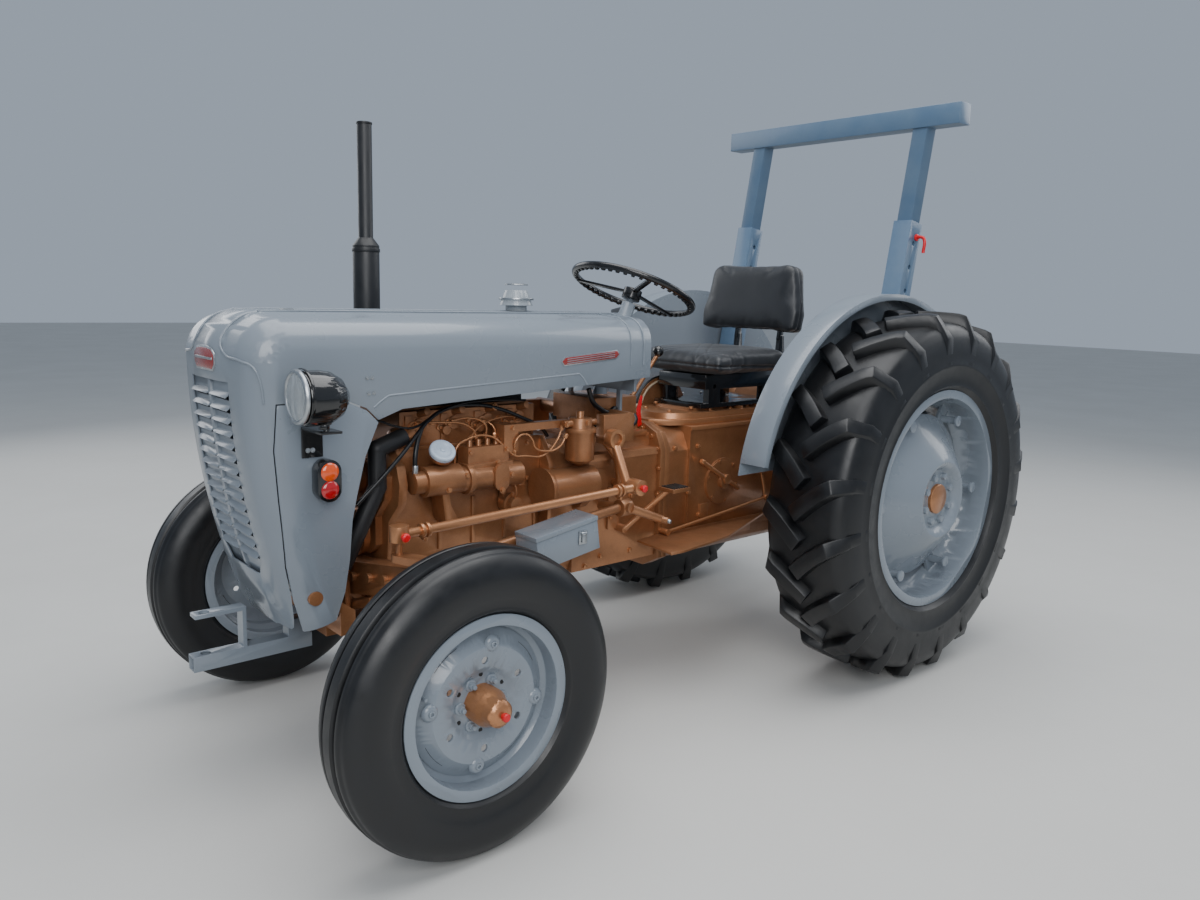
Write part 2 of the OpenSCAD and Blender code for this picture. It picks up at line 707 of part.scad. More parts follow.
module rear_axle() {
    place() color(COPPER) union() {
        bar_y(60, -200, 200, 0, axle_z);
        for (s = [-1, 1])
            sided(s) union() {
                bar_y(148, 168 + little, 188, 0, axle_z);
                translate([0, 186, axle_z]) rotate([-90, 0, 0]) cylinder(r1 = 126, r2 = 90, h = 120);
                bar_y(88, 300, 500, 0, axle_z);
                // Brake lever's boss
                bar_y(26, 400, 440, 120, axle_z - 30);
                box([70, 404, axle_z - 52], [130, 430, axle_z - 10]);
                bar_y(112, 480, rear_y - 110 - little, 0, axle_z);
                box([-170, 330, axle_z + 60], [70, 470, axle_z + 104]);
            }
    }
}

support_low = 430;
support_x = block_front + 24.5;
shelf_z = 388;

module front_support() {
    front_place() color(COPPER) union() {
        // Plate at the engine's face, shelf under the axle, plate ahead of it, and the pin it rocks on
        box([support_x, -60, shelf_z], [layout_base - 33, 60, 546]);
        box([support_x, -90, shelf_z], [1950, 90, shelf_z + 16]);
        box([layout_base + 38, -66, shelf_z + 2], [layout_base + 53, 66, 600]);
        bar_x(16, support_x + 2, layout_base + 50, 0, 526);
        // Cross member with its foot
        box([1925, -90, shelf_z + 2], [1950, 90, support_low + 2]);
        box([1925, -214, support_low], [1966, 214, 480]);
        // Brackets and pins that the bonnet turns on
        for (s = [-1, 1])
            sided(s) union() {
                side_slab(204, 214) polygon([[1925, support_low + 2], [1966, support_low + 2],
                    [1966, 492], [hinge_x + 16, hinge_z - 14],
                    [hinge_x + 14, hinge_z + 14], [hinge_x - 16, hinge_z + 16], [1925, 492]]);
                bar_y(hinge_r - fit, 213, bonnet_hw + 1, hinge_x, hinge_z);
            }
    }
}

module front_axle() {
    slope = 0.195;
    mid_z = 523;
    end_y = king_y - 20;
    x0 = wheelbase - 32;
    x1 = wheelbase + 32;
    place() color(COPPER) difference() {
        union() {
            for (s = [-1, 1])
                sided(s) union() {
                    cross_slab(x0, x1) polygon([[0, mid_z - 40], [60, mid_z - 40],
                        [end_y, mid_z + slope * end_y - 40],
                        [end_y, mid_z + slope * end_y + 36], [60, mid_z + 52], [0, mid_z + 48]]);
                    bar_z(33, 545, 655, wheelbase, king_y);
                    bar_z(38, 640, 655, wheelbase, king_y);
                    // Radius rod, back to its clamp on the gearbox
                    rod([x0 + 10, 290, mid_z + slope * 290 + 10], [1055 + little, 262, 656], 15);
                    // Bolts that set the axle's width
                    for (y = [82, 175, 263])
                        bar_x(13, x1 - 1, x1 + 12, y, mid_z + slope * y);
                }
            // Lower bar that ties the two halves
            rod([x1 - 12, -15, 425], [x1 - 12, 167, 488], 15);
            box([x0 + 6, -30, 430], [x1 - 2, 30, 500]);
        }
        for (s = [-1, 1])
            bar_z(16 + fit, 500, 700, wheelbase, s * king_y);
        // Bore for the pin that the beam rocks on
        bar_x(16 + fit, x0 - 10, x1 + 10, 0, 526);
    }
}

module radiator() {
    front_place() color(BLACK) union() {
        box([1960, -200, 500], [2020, 200, 1040]);
        box([1952, -206, 1000], [2028, 206, 1060]);
        box([1952, -186, 480 + little], [1990, 186, 520]);
        bar_x(175, 1900, 1962, 0, 800);
        bar_z(38, 1058, 1084, 1990, 0);
        for (s = [-1, 1])
            sided(s) box([1956, 199, 520], [2024, 203, 1002]);
    }
}

hose_r = 24;
// Places along the hose from the radiator's foot, round the timing case, to the water outlet
hose_run = [[1938.4, 170, 600], [1832, 165, 800], [1832, 163, 900], [1748, 160.5, 928]];

module radiator_hoses() {
    front_place() color(RUBBER) union() {
        for (i = [0:len(hose_run) - 2])
            rod(hose_run[i], hose_run[i + 1], hose_r);
        for (i = [1:len(hose_run) - 2])
            translate(hose_run[i]) sphere(r = hose_r + little);
    }
}

module exhaust() {
    x = 1618;
    y = -300;
    front_place() color(BLACK) union() {
        box([1320, -block_hw - 50, 905], [1710, -port_hw - little, 958]);
        rod([x, -block_hw - 20, 930], [x, y, 930], 24);
        bar_z(24, 930 - 24, 1120, x, y);
        bar_z(40, 1110, 1440, x, y);
        difference() {
            bar_z(22, 1438, 1805, x, y);
            bar_z(19, 1500, 1900, x, y);
        }
    }
}

module pre_cleaner() {
    front_place() color(GREY) translate([1204, -90, bonnet_z + little]) union() {
        cylinder(r = 34, h = 20);
        translate([0, 0, 18]) cylinder(r1 = 54, r2 = 36, h = 48);
    }
}

module fuel_tank() {
    place() color(GREY) union() {
        box([945, -190, 1090], [1340, 190, 1200]);
        box([935, -200, 1012], [946, 200, 1210]);
        for (s = [-1, 1])
            sided(s) box([936, 115, 868 + little], [946, 135, 1014]);
    }
}

// The steering column's axis meets the wheel's middle here
wheel_mid = [777, 0, 1334];

module steering_column() {
    place() color(GREY) union() {
        translate(wheel_mid) rotate([0, -column_lean, 0]) union() {
            translate([0, 0, -440]) cylinder(r = 24, h = 390);
            translate([0, 0, -440]) cylinder(r = 11, h = 440 - 34 - little);
        }
        box([850, -110, 905 + little], [1030, 110, 985]);
        bar_y(24, -236, 236, drop_pivot[0] - 90, 930);
        for (s = [-1, 1])
            sided(s) union() {
                bar_y(18, 200, drop_pivot[1] + 16, drop_pivot[0], drop_pivot[2]);
                box([drop_pivot[0] - 110, 200, 860], [drop_pivot[0] + 16, 236, 950]);
            }
    }
}

module steering_wheel() {
    place() color(BLACK) translate(wheel_mid) rotate([0, -column_lean, 0]) union() {
        rotate_extrude() translate([steer_r, 0]) circle(r = 11, $fn = 24);
        for (i = [0:2])
            rotate([0, 0, 60 + i * 120]) translate([20, -9, -14]) cube([steer_r - 26, 18, 8]);
        translate([0, 0, -34]) cylinder(r = 32, h = 34);
    }
}

// Seat

module seat_cushion() {
    place() color(BLACK) side_slab(-seat_w / 2, seat_w / 2) polygon([[170, seat_z - 90], [420, seat_z - 90],
        [560, seat_z - 96], [590, seat_z - 70], [570, seat_z - 24], [480, seat_z - 10], [200, seat_z],
            [150, seat_z - 20]]);
}

// The backrest leans back about its middle
module back_frame() {
    translate([150, 0, 1320]) rotate([0, -8, 0]) children();
}

module seat_back() {
    place() color(BLACK) back_frame() cross_slab(-60, 30) polygon([
        [-245, -135], [245, -135], [250, -60], [215, 120], [190, 138], [-190, 138], [-215, 120],
            [-250, -60]]);
}

module seat_frame() {
    z0 = 872 + 50 + little * 2;
    place() color(BLACK) union() {
        box([110, -118, z0], [540, 118, z0 + 16]);
        for (s = [-1, 1])
            sided(s) union() {
                box([150, 90, z0 + 14], [200, 118, 1040]);
                box([440, 90, z0 + 14], [500, 118, 1040]);
                side_slab(96, 114) polygon([[64, 1000], [120, 1000], [106, 1178], [82, 1178]]);
                back_frame() box([-84, 98, -150], [-60 - seat_gap, 112, -20]);
            }
        side_slab(-118, 118) polygon([[60, 990], [520, 990], [520, seat_z - 98],
            [420, seat_z - 90 - seat_gap],
            [60, seat_z - 90 - seat_gap]]);
    }
}

// Fenders

fender_r = 700;
fender_in = 433;
fender_out = 532;

module fender(side) {
    t = 4;
    place() color(GREY) sided(side) union() {
        translate([0, 0, axle_z]) rotate([90, 0, 0]) rotate([0, 0, 12])
            rotate_extrude(angle = 145, $fn = 180) polygon([
            [fender_r - t, -fender_in], [fender_r, -fender_in], [fender_r, -fender_out],
                [fender_r - 22, -fender_out],
            [fender_r - 22, -fender_out + t], [fender_r - t, -fender_out + t]]);
        difference() {
            bar_y(fender_r - little, fender_in, fender_in + t, 0, axle_z, $fn = 180);
            box([-800, fender_in - 10, -100], [800, fender_in + 20, axle_z + 104 + little]);
        }
        box([-45, 400, axle_z + 104.5], [65, fender_in + t, axle_z + 112]);
    }
}

// Rollbar. The posts lean back about a line through their feet.

post_y = post_gap / 2;
post_foot = [-128, axle_z + 104.5];

module post_frame(side) {
    translate([post_foot[0], side * post_y, post_foot[1]]) rotate([0, -post_lean, 0]) children();
}

sleeve_len = 880;
post_out = (rollbar_z - 75 - post_foot[1]) / cos(post_lean);

module rollbar_foot(side) {
    place() color(BLUEGREY) post_frame(side) difference() {
        union() {
            translate([-38, -38, 20]) cube([76, 76, sleeve_len - 20]);
        }
        translate([-30 - seat_gap, -30 - seat_gap, 60]) cube([60 + 2 * seat_gap, 60 + 2 * seat_gap,
            sleeve_len]);
        for (i = [0:2])
            translate([0, 0, sleeve_len - 80 - i * 90]) rotate([90, 0, 0])
                cylinder(r = 9, h = 120, center = true);
    }
    place() color(BLUEGREY) sided(side) box([-175, post_y - 50, axle_z + 104.5],
        [-50, post_y + 40, axle_z + 150]);
}

module rollbar_hoop() {
    place() color(BLUEGREY) union() {
        for (s = [-1, 1])
            post_frame(s) translate([-30, -30, 420]) cube([60, 60, post_out - 420 + 6]);
        translate([post_foot[0] - post_out * sin(post_lean), -rollbar_len / 2, rollbar_z - 75])
            translate([-37, 0, 0])
            cube([75, rollbar_len, 75]);
    }
}

// Toolbox at the left, tilted a little

module toolbox_frame() {
    translate([1250, 300, 592]) rotate([0, 8.7, 0]) children();
}

module toolbox() {
    front_place() color(GREY) union() {
        toolbox_frame() difference() {
            cube([220, 100, 84]);
            translate([3, 3, 3]) cube([214, 94, 100]);
        }
        toolbox_frame() translate([60, block_hw + little - 300, -8]) cube([100, 302 - block_hw, 9]);
        // Hinge pin and the barrels that carry it
        toolbox_frame() bar_x(3, 30, 190, -6, 86);
        for (x = [30, 160])
            toolbox_frame() union() {
                bar_x(6, x, x + 30, -6, 86);
                translate([x, -6, 70]) cube([30, 8, 12]);
            }
    }
}

module toolbox_lid() {
    front_place() color(GREY) toolbox_frame() union() {
        difference() {
            translate([-2, 2, 85]) cube([224, 100, 13]);
            translate([1, 5, 80]) cube([218, 94, 15]);
        }
        // Barrel on the hinge pin
        difference() {
            union() {
                bar_x(6, 62, 158, -6, 86);
                translate([62, -6, 86]) cube([96, 12, 6]);
                translate([62, 2, 89]) cube([96, 4, 8]);
            }
            bar_x(3 + fit, 50, 170, -6, 86);
        }
    }
}

// Footrests

module footrest(side) {
    z0 = 505;
    place() color(COPPER) sided(side) union() {
        translate([0, 0, z0]) linear_extrude(8) polygon([[210, 172 + little], [800, 172 + little],
            [900, 190], [920, 370], [860, 372],
            [600, 330], [400, 250]]);
        box([300, 168 + little, z0 - 50], [700, 176, z0 + 4]);
    }
}

module front_hitch() {
    bottom = 343;
    beam = 40;
    wall = 3;
    strap = 10;
    strap_z = 482;
    jaw = 126;
    beam_len = 312;
    upright_x = hitch_x - jaw - strap;
    front_place() color(GREY) difference() {
        union() {
            difference() {
                box([hitch_x - beam_len, -beam / 2, bottom], [hitch_x, beam / 2, bottom + beam]);
                box([hitch_x - beam_len + 40, -beam / 2 + wall, bottom + wall],
                    [hitch_x + 10, beam / 2 - wall, bottom + beam - wall]);
            }
            box([upright_x, -beam / 2, bottom + beam - 1], [upright_x + strap, beam / 2, strap_z + strap]);
            box([upright_x, -beam / 2, strap_z], [hitch_x - 8, beam / 2, strap_z + strap]);
            box([1965, -beam / 2, bottom + beam - 1], [2025, beam / 2, support_low - little]);
        }
        bar_z(13, bottom - 10, strap_z + 40, hitch_x - 36, 0);
    }
}

// Rear linkage

lift_pivot = [-60, 905];
lift_end = [-330, 872];
link_pivot = [60, 405];
link_rod_x = -370;
link_end = [-(rear_reach - 27), 400];

module lift_arms() {
    place() color(COPPER) union() {
        bar_y(24, -250, 250, lift_pivot[0], lift_pivot[1]);
        for (s = [-1, 1])
            sided(s) difference() {
                union() {
                    bar_y(44, 204, 244, lift_pivot[0], lift_pivot[1]);
                    bar_y(26, 208, 240, lift_end[0], lift_end[1]);
                    side_slab(212, 236) polygon([[lift_pivot[0] - 10, lift_pivot[1] + 40],
                        [lift_end[0], lift_end[1] + 25],
                        [lift_end[0], lift_end[1] - 25], [lift_pivot[0] - 10, lift_pivot[1] - 40]]);
                }
                bar_y(11, 190, 260, lift_end[0], lift_end[1]);
            }
    }
}

module lower_link(side) {
    y0 = 215;
    y1 = 340;
    place() color(COPPER) sided(side) difference() {
        union() {
            bar_y(34, y0 - 14, y0 + 14, link_pivot[0], link_pivot[1]);
            rod([link_pivot[0] - 20, y0, link_pivot[1]], [link_end[0] + 20, y1, link_end[1]], 17);
            bar_y(27, y1 - 18, y1 + 18, link_end[0], link_end[1]);
        }
        bar_y(12.5, y0 - 60, y0 + 60, link_pivot[0], link_pivot[1]);
        bar_y(11.2, y1 - 60, y1 + 60, link_end[0], link_end[1]);
    }
}

module lift_rod(side) {
    top = [lift_end[0], 262, lift_end[1]];
    low = [link_rod_x, 262, 452];
    place() color(COPPER) sided(side) union() {
        bar_y(22, 250, 274, top[0], top[2]);
        bar_y(10.5, 206, 252, top[0], top[2]);
        rod(top, low, 13);
        rod([-340, 262, 760], [-356, 262, 600], 24);
    }
}

// Steering linkage

module knuckle(side) {
    place() color(COPPER) sided(side) union() {
        bar_z(16, 420, king_top + 20, wheelbase, king_y);
        bar_z(30, 340, 540, wheelbase, king_y);
        bar_y(28, king_y, king_y + 40, wheelbase, front_z);
        bar_y(17 - fit, king_y, front_y + 96, wheelbase, front_z);
        difference() {
            hull() {
                bar_z(28, king_top, king_top + 18, wheelbase, king_y);
                bar_z(20, king_top, king_top + 18, ball_front[0], ball_front[1]);
            }
        }
        bar_z(9, king_top + 10, ball_front[2] - 16, ball_front[0], ball_front[1]);
    }
}

module drop_arm(side) {
    place() color(COPPER) sided(side) difference() {
        union() {
            bar_y(30, drop_pivot[1] - 10, drop_pivot[1] + 22, drop_pivot[0], drop_pivot[2]);
            rod([drop_pivot[0], drop_pivot[1] + 8, drop_pivot[2] - 12],
                [ball_rear[0], ball_rear[1] - 44, ball_rear[2]], 14);
            bar_y(15, ball_rear[1] - 60, ball_rear[1] - 26, ball_rear[0], ball_rear[2]);
        }
        bar_y(18 + fit, 100, 400, drop_pivot[0], drop_pivot[2]);
    }
}

module drag_link(side) {
    place() color(COPPER) sided(side) union() {
        rod(ball_front, ball_rear, 12);
        bar_z(24, ball_front[2] - 15.5, ball_front[2] + 24, ball_front[0], ball_front[1]);
        bar_y(24, ball_rear[1] - 25, ball_rear[1] + 22, ball_rear[0], ball_rear[2]);
    }
}

engine();
injection_set();
gearbox();
rear_housing();
lift_cover();
rear_axle();
front_support();
front_axle();
radiator();
radiator_hoses();
side_panel(1);  // side_panel_left
side_panel(-1);  // side_panel_right
bonnet();
grille();
headlamp(1);  // headlamp_left
headlamp(-1);  // headlamp_right
indicator(1);  // indicator_left
indicator(-1);  // indicator_right
exhaust();
pre_cleaner();
fuel_tank();
steering_column();
steering_wheel();
seat_cushion();
seat_back();
seat_frame();
fender(1);  // fender_left
fender(-1);  // fender_right
rollbar_foot(1);  // rollbar_foot_left
rollbar_foot(-1);  // rollbar_foot_right
rollbar_hoop();
toolbox();
toolbox_lid();
footrest(1);  // footrest_left
footrest(-1);  // footrest_right
front_hitch();
lift_arms();
lower_link(1);  // lower_link_left
lower_link(-1);  // lower_link_right
lift_rod(1);  // lift_rod_left
lift_rod(-1);  // lift_rod_right
front_tyre(1);  // front_tyre_left
front_tyre(-1);  // front_tyre_right
front_rim(1);  // front_rim_left
front_rim(-1);  // front_rim_right
rear_tyre(1);  // rear_tyre_left
rear_tyre(-1);  // rear_tyre_right
rear_rim(1);  // rear_rim_left
rear_rim(-1);  // rear_rim_right
knuckle(1);  // knuckle_left
knuckle(-1);  // knuckle_right
drop_arm(1);  // drop_arm_left
drop_arm(-1);  // drop_arm_right
drag_link(1);  // drag_link_left
drag_link(-1);  // drag_link_right
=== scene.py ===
"""Vintage compact tractor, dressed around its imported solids.

Each sub-assembly is a class that holds its sizes in millimetres, measured from the rear axle:
x forward, y to the left, z up from the ground. The function at() turns such a place into the
part's own frame in metres.
"""

from __future__ import annotations

import json
import logging
import math
from dataclasses import dataclass
from enum import Enum
from typing import Callable, Iterable, Sequence

import bpy
from mathutils import Matrix, Vector
from mathutils.bvhtree import BVHTree

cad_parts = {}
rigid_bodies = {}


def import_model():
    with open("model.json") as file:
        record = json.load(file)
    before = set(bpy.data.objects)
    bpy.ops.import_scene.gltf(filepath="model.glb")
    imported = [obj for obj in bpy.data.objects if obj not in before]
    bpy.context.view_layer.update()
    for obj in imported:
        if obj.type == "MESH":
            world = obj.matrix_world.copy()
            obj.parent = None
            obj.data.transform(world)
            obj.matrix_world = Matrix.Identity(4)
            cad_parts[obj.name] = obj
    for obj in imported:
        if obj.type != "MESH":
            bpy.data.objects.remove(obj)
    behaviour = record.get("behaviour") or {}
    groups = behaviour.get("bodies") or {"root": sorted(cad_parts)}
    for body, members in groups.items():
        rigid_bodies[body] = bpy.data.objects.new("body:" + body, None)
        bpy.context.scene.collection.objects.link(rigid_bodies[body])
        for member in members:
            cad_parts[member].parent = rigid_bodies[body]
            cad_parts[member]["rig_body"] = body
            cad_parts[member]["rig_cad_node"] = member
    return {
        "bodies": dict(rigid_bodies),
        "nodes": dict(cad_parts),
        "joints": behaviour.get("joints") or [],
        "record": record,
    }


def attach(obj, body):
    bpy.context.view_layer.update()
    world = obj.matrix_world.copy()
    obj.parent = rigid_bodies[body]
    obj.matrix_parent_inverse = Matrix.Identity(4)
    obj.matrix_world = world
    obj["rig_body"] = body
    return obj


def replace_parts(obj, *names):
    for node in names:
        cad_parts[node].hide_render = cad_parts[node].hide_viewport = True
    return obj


log = logging.getLogger("tractor")

Object = bpy.types.Object
Point = tuple[float, float, float]
Pair = tuple[float, float]
Tree = bpy.types.NodeTree
Socket = bpy.types.NodeSocket

MM = 0.001
# The part's middle lies this far ahead of the rear axle
AXLE_SHIFT = -747.5
# The sign that Y has on each side
SIDES = {"left": 1, "right": -1}
# Widths in millimetres of copper flakes, of the waves in a cast face and of spots of dust
FLAKE_MM = 1.6
SWELL_MM = 26.0
DUST_MM = 45.0
DUST_COLOUR = "#8d8578"


def at(x: float, y: float, z: float) -> Vector:
    """Turns a place measured from the rear axle into the part's frame.

    Args:
        x: Millimetres ahead of the rear axle.
        y: Millimetres to the left of the middle.
        z: Millimetres above the ground.

    Returns:
        The place in metres, in the part's frame.
    """
    return Vector(((x + AXLE_SHIFT) * MM, y * MM, z * MM))


def linear(hex_colour: str) -> tuple[float, float, float, float]:
    """Turns an sRGB hex colour to the linear values that shaders take.

    Args:
        hex_colour: Six hex digits with a leading hash.

    Returns:
        Red, green, blue and an alpha of one.
    """
    channels = [int(hex_colour[i : i + 2], 16) / 255 for i in (1, 3, 5)]
    turned = [c / 12.92 if c <= 0.04045 else ((c + 0.055) / 1.055) ** 2.4 for c in channels]
    return (turned[0], turned[1], turned[2], 1.0)


# Materials


def add_node(
    tree: bpy.types.NodeTree,
    kind: str,
    values: dict[str, object] | None = None,
    links: dict[str, bpy.types.NodeSocket] | None = None,
    **settings: object,
) -> bpy.types.Node:
    """Adds a shader node with its settings, socket values and links.

    Args:
        tree: The material's node tree.
        kind: The node's type name.
        values: Input names or numbers, each with a constant value.
        links: Input names or numbers, each with the socket that feeds it.
        **settings: Attributes of the node itself.

    Returns:
        The new node.
    """
    node = tree.nodes.new(kind)
    for name, value in settings.items():
        setattr(node, name, value)
    for key, value in (values or {}).items():
        node.inputs[key].default_value = value
    for key, socket in (links or {}).items():
        tree.links.new(socket, node.inputs[key])
    return node


def noise(tree: Tree, where: Socket, width_mm: float, detail: float, **values: float) -> Socket:
    """Adds cloudy noise.

    Args:
        tree: The material's node tree.
        where: The object coordinates.
        width_mm: Width of the clouds.
        detail: How many finer layers the clouds have.
        **values: Other inputs of the noise.

    Returns:
        The noise, about 0 to 1.
    """
    inputs = {"Scale": 1000 / width_mm, "Detail": detail, **values}
    return add_node(tree, "ShaderNodeTexNoise", inputs, {"Vector": where}).outputs["Fac"]


def ranged(tree: Tree, value: Socket, source: Pair, result: Pair) -> Socket:
    """Maps a value from one range to another, and holds it there.

    Args:
        tree: The material's node tree.
        value: The value.
        source: The range it is read from.
        result: The range it is brought to.

    Returns:
        The mapped value.
    """
    ends = {"From Min": source[0], "From Max": source[1], "To Min": result[0], "To Max": result[1]}
    return add_node(tree, "ShaderNodeMapRange", ends, {"Value": value}).outputs["Result"]


def mixed(tree: Tree, share: Socket, first: Socket | Sequence[float], second: Sequence[float]) -> Socket:
    """Mixes two colours.

    Args:
        tree: The material's node tree.
        share: The second colour's share.
        first: The first colour, as a constant or a socket.
        second: The second colour.

    Returns:
        The mixed colour.
    """
    values, links = {7: second}, {0: share}
    (links if isinstance(first, Socket) else values)[6] = first
    return add_node(tree, "ShaderNodeMix", values, links, data_type="RGBA").outputs[2]


def bumped(tree: Tree, height: Socket, rise_mm: float, under: Socket | None = None) -> Socket:
    """Turns a height to a surface normal.

    Args:
        tree: The material's node tree.
        height: The height, 0 to 1.
        rise_mm: What a height of 1 stands for.
        under: The normal of a bump that this one lies on.

    Returns:
        The normal.
    """
    links = {"Height": height}
    if under:
        links["Normal"] = under
    values = {"Strength": 1.0, "Distance": rise_mm * MM}
    return add_node(tree, "ShaderNodeBump", values, links).outputs["Normal"]


class Surface:
    """A material that is built once, on its first use."""

    name: str

    def link_nodes(self, tree: Tree, shader: bpy.types.Node, where: Socket) -> None:
        """Links the surface's own nodes to the shader, in each kind of surface."""
        raise NotImplementedError

    def material(self) -> bpy.types.Material:
        """Builds the material once and gives it back on later calls.

        Returns:
            The node material.
        """
        made = bpy.data.materials.get(self.name)
        if made is None:
            made = bpy.data.materials.new(self.name)
            made.use_nodes = True
            tree = made.node_tree
            where = add_node(tree, "ShaderNodeTexCoord").outputs["Object"]
            self.link_nodes(tree, tree.nodes["Principled BSDF"], where)
        return made


@dataclass(frozen=True)
class Finish(Surface):
    """A surface finish, worked out from the real material and how it was made.

    Attributes:
        name: The material's plain name.
        colour: Main colour, sRGB hex.
        shade: Second colour that clouds and stains tend to, sRGB hex.
        rough: Base roughness.
        metal: Metallic share, 0 or near 1.
        coat: Weight of a clear top layer.
        patch_mm: Size of the soft clouds of colour.
        patch: How strongly the clouds show, 0 to 1.
        grain_mm: Size of the fine surface grain.
        grain: Height of the fine grain in millimetres.
        swell: Height in millimetres of a broad waviness, as in sprayed or cast faces.
        dust: How much pale dust lies on upward faces.
        ior: Refractive index of the surface, for what isn't a metal.
        flake: Strength of metallic flakes in the paint.
    """

    name: str
    colour: str
    shade: str
    rough: float = 0.4
    metal: float = 0.0
    coat: float = 0.0
    patch_mm: float = 180.0
    patch: float = 0.5
    grain_mm: float = 2.5
    grain: float = 0.02
    swell: float = 0.0
    dust: float = 0.0
    ior: float = 1.5
    flake: float = 0.0

    def link_nodes(self, tree: Tree, shader: bpy.types.Node, where: Socket) -> None:
        """Links the finish's clouds, flakes, dust and grain to the shader.

        Args:
            tree: The material's node tree.
            shader: Its Principled shader.
            where: The object coordinates.
        """
        cloud = noise(tree, where, self.patch_mm, 5.0, Roughness=0.62)
        share = ranged(tree, cloud, (0.36, 0.68), (0.0, self.patch))
        tone = mixed(tree, share, linear(self.colour), linear(self.shade))
        if self.flake:
            cells = add_node(tree, "ShaderNodeTexVoronoi", {"Scale": 1000 / FLAKE_MM}, {"Vector": where})
            light = ranged(tree, cells.outputs["Color"], (0.0, 1.0), (1 - self.flake, 1 + self.flake))
            tone = add_node(tree, "ShaderNodeVectorMath", None, {0: tone, 3: light},
                            operation="SCALE").outputs[0]
        if self.dust:
            tone = self.dusted(tree, where, tone)
        wear = ranged(tree, cloud, (0.3, 0.7), (self.rough * 0.85, min(1.0, self.rough * 1.25)))
        normal = bumped(tree, noise(tree, where, self.grain_mm, 2.0), self.grain)
        if self.swell:
            normal = bumped(tree, noise(tree, where, SWELL_MM, 3.0), self.swell, normal)
        tree.links.new(tone, shader.inputs["Base Color"])
        tree.links.new(wear, shader.inputs["Roughness"])
        tree.links.new(normal, shader.inputs["Normal"])
        shader.inputs["Metallic"].default_value = self.metal
        shader.inputs["Coat Weight"].default_value = self.coat
        shader.inputs["Coat Roughness"].default_value = 0.06
        if self.metal < 0.5:
            shader.inputs["IOR"].default_value = self.ior

    def dusted(self, tree: Tree, where: Socket, tone: Socket) -> Socket:
        """Lays pale dust over upward faces, in loose spots.

        Args:
            tree: The material's node tree.
            where: The object coordinates.
            tone: The colour under the dust.

        Returns:
            The dusted colour.
        """
        normal = add_node(tree, "ShaderNodeNewGeometry").outputs["Normal"]
        facing = add_node(tree, "ShaderNodeSeparateXYZ", None, {0: normal})
        up = ranged(tree, facing.outputs["Z"], (0.1, 1.0), (0.15, 1.0))
        spots = noise(tree, where, DUST_MM, 6.0)
        amount = add_node(tree, "ShaderNodeMath", None, {0: up, 1: spots}, operation="MULTIPLY").outputs[0]
        share = add_node(tree, "ShaderNodeMath", {1: self.dust}, {0: amount},
                         operation="MULTIPLY").outputs[0]
        return mixed(tree, share, tone, linear(DUST_COLOUR))


# Sprayed two-coat enamel over pressed steel: a soft sheen with slight orange peel.
GREY_PAINT = Finish("Sprayed_grey_enamel", "#79828b", "#737b85", rough=0.27, coat=0.35, patch_mm=420,
                    patch=0.3, grain_mm=3.0, grain=0.008, dust=0.02)
# Metallic lacquer over sand-cast iron: warm copper flakes on a coarse, slightly lumpy skin.
COPPER_PAINT = Finish("Copper_lacquer_on_cast_iron", "#a9744e", "#875a39", rough=0.36, metal=0.6, coat=0.2,
                      patch_mm=120, patch=0.75, grain_mm=3.5, grain=0.12, swell=0.35, flake=0.12, dust=0.18)
# The same lacquer on rods, pipes and pressed brackets, which are smoother.
COPPER_SMOOTH = Finish("Copper_lacquer_on_steel", "#b98259", "#966240", rough=0.3, metal=0.65, coat=0.25,
                       patch_mm=90, patch=0.5, grain_mm=2.0, grain=0.03, flake=0.08, dust=0.08)
# Stoved black enamel: deep gloss with a crisp reflection.
BLACK_PAINT = Finish("Stoved_black_enamel", "#0d0e10", "#16181b", rough=0.16, coat=0.6, grain_mm=3.0,
                     grain=0.008, dust=0.05)
# Heat-proof black paint on the exhaust: nearly matt, with faint chalky clouds.
EXHAUST_PAINT = Finish("Heat_proof_black_paint", "#101216", "#1a1d22", rough=0.42, patch_mm=90,
                       grain_mm=1.5, grain=0.03, dust=0.08)
# Hammered blue-grey paint on welded square tube.
BAR_PAINT = Finish("Blue_grey_tube_paint", "#4d6680", "#5a7085", rough=0.34, coat=0.15, patch_mm=150,
                   patch=0.7, grain_mm=6.0, grain=0.05, dust=0.1)
# Vulcanised tyre rubber, wiped with tyre black: dark and a little shiny on the wall.
TYRE_RUBBER = Finish("Vulcanised_tyre_rubber", "#08090c", "#0f1115", rough=0.38, patch_mm=60, patch=0.8,
                     grain_mm=1.2, grain=0.05, swell=0.12, dust=0.02, ior=1.52)
# Moulded hose rubber with a fabric ply under it.
HOSE_RUBBER = Finish("Moulded_hose_rubber", "#141518", "#202226", rough=0.5, patch_mm=40, grain_mm=1.6,
                     grain=0.08, dust=0.08)
# Cable jacket, soft PVC.
CABLE_PVC = Finish("Cable_PVC", "#0f1012", "#1a1b1e", rough=0.36, patch_mm=30, grain_mm=1.0, grain=0.01)
# Zinc-plated steel: pale, slightly mottled grey.
ZINC = Finish("Zinc_plated_steel", "#b9bdc0", "#8f9498", rough=0.3, metal=0.95, patch_mm=18, patch=0.6,
              grain_mm=0.8, grain=0.01)
# Red moulded grease caps.
RED_PLASTIC = Finish("Red_moulded_plastic", "#d0141f", "#b00d18", rough=0.3, grain_mm=1.5, grain=0.01)
# Red vitreous enamel on the bare badges.
RED_ENAMEL = Finish("Red_badge_enamel", "#8e2a26", "#76201e", rough=0.24, coat=0.6, patch_mm=15,
                    grain_mm=1.0, grain=0.01)
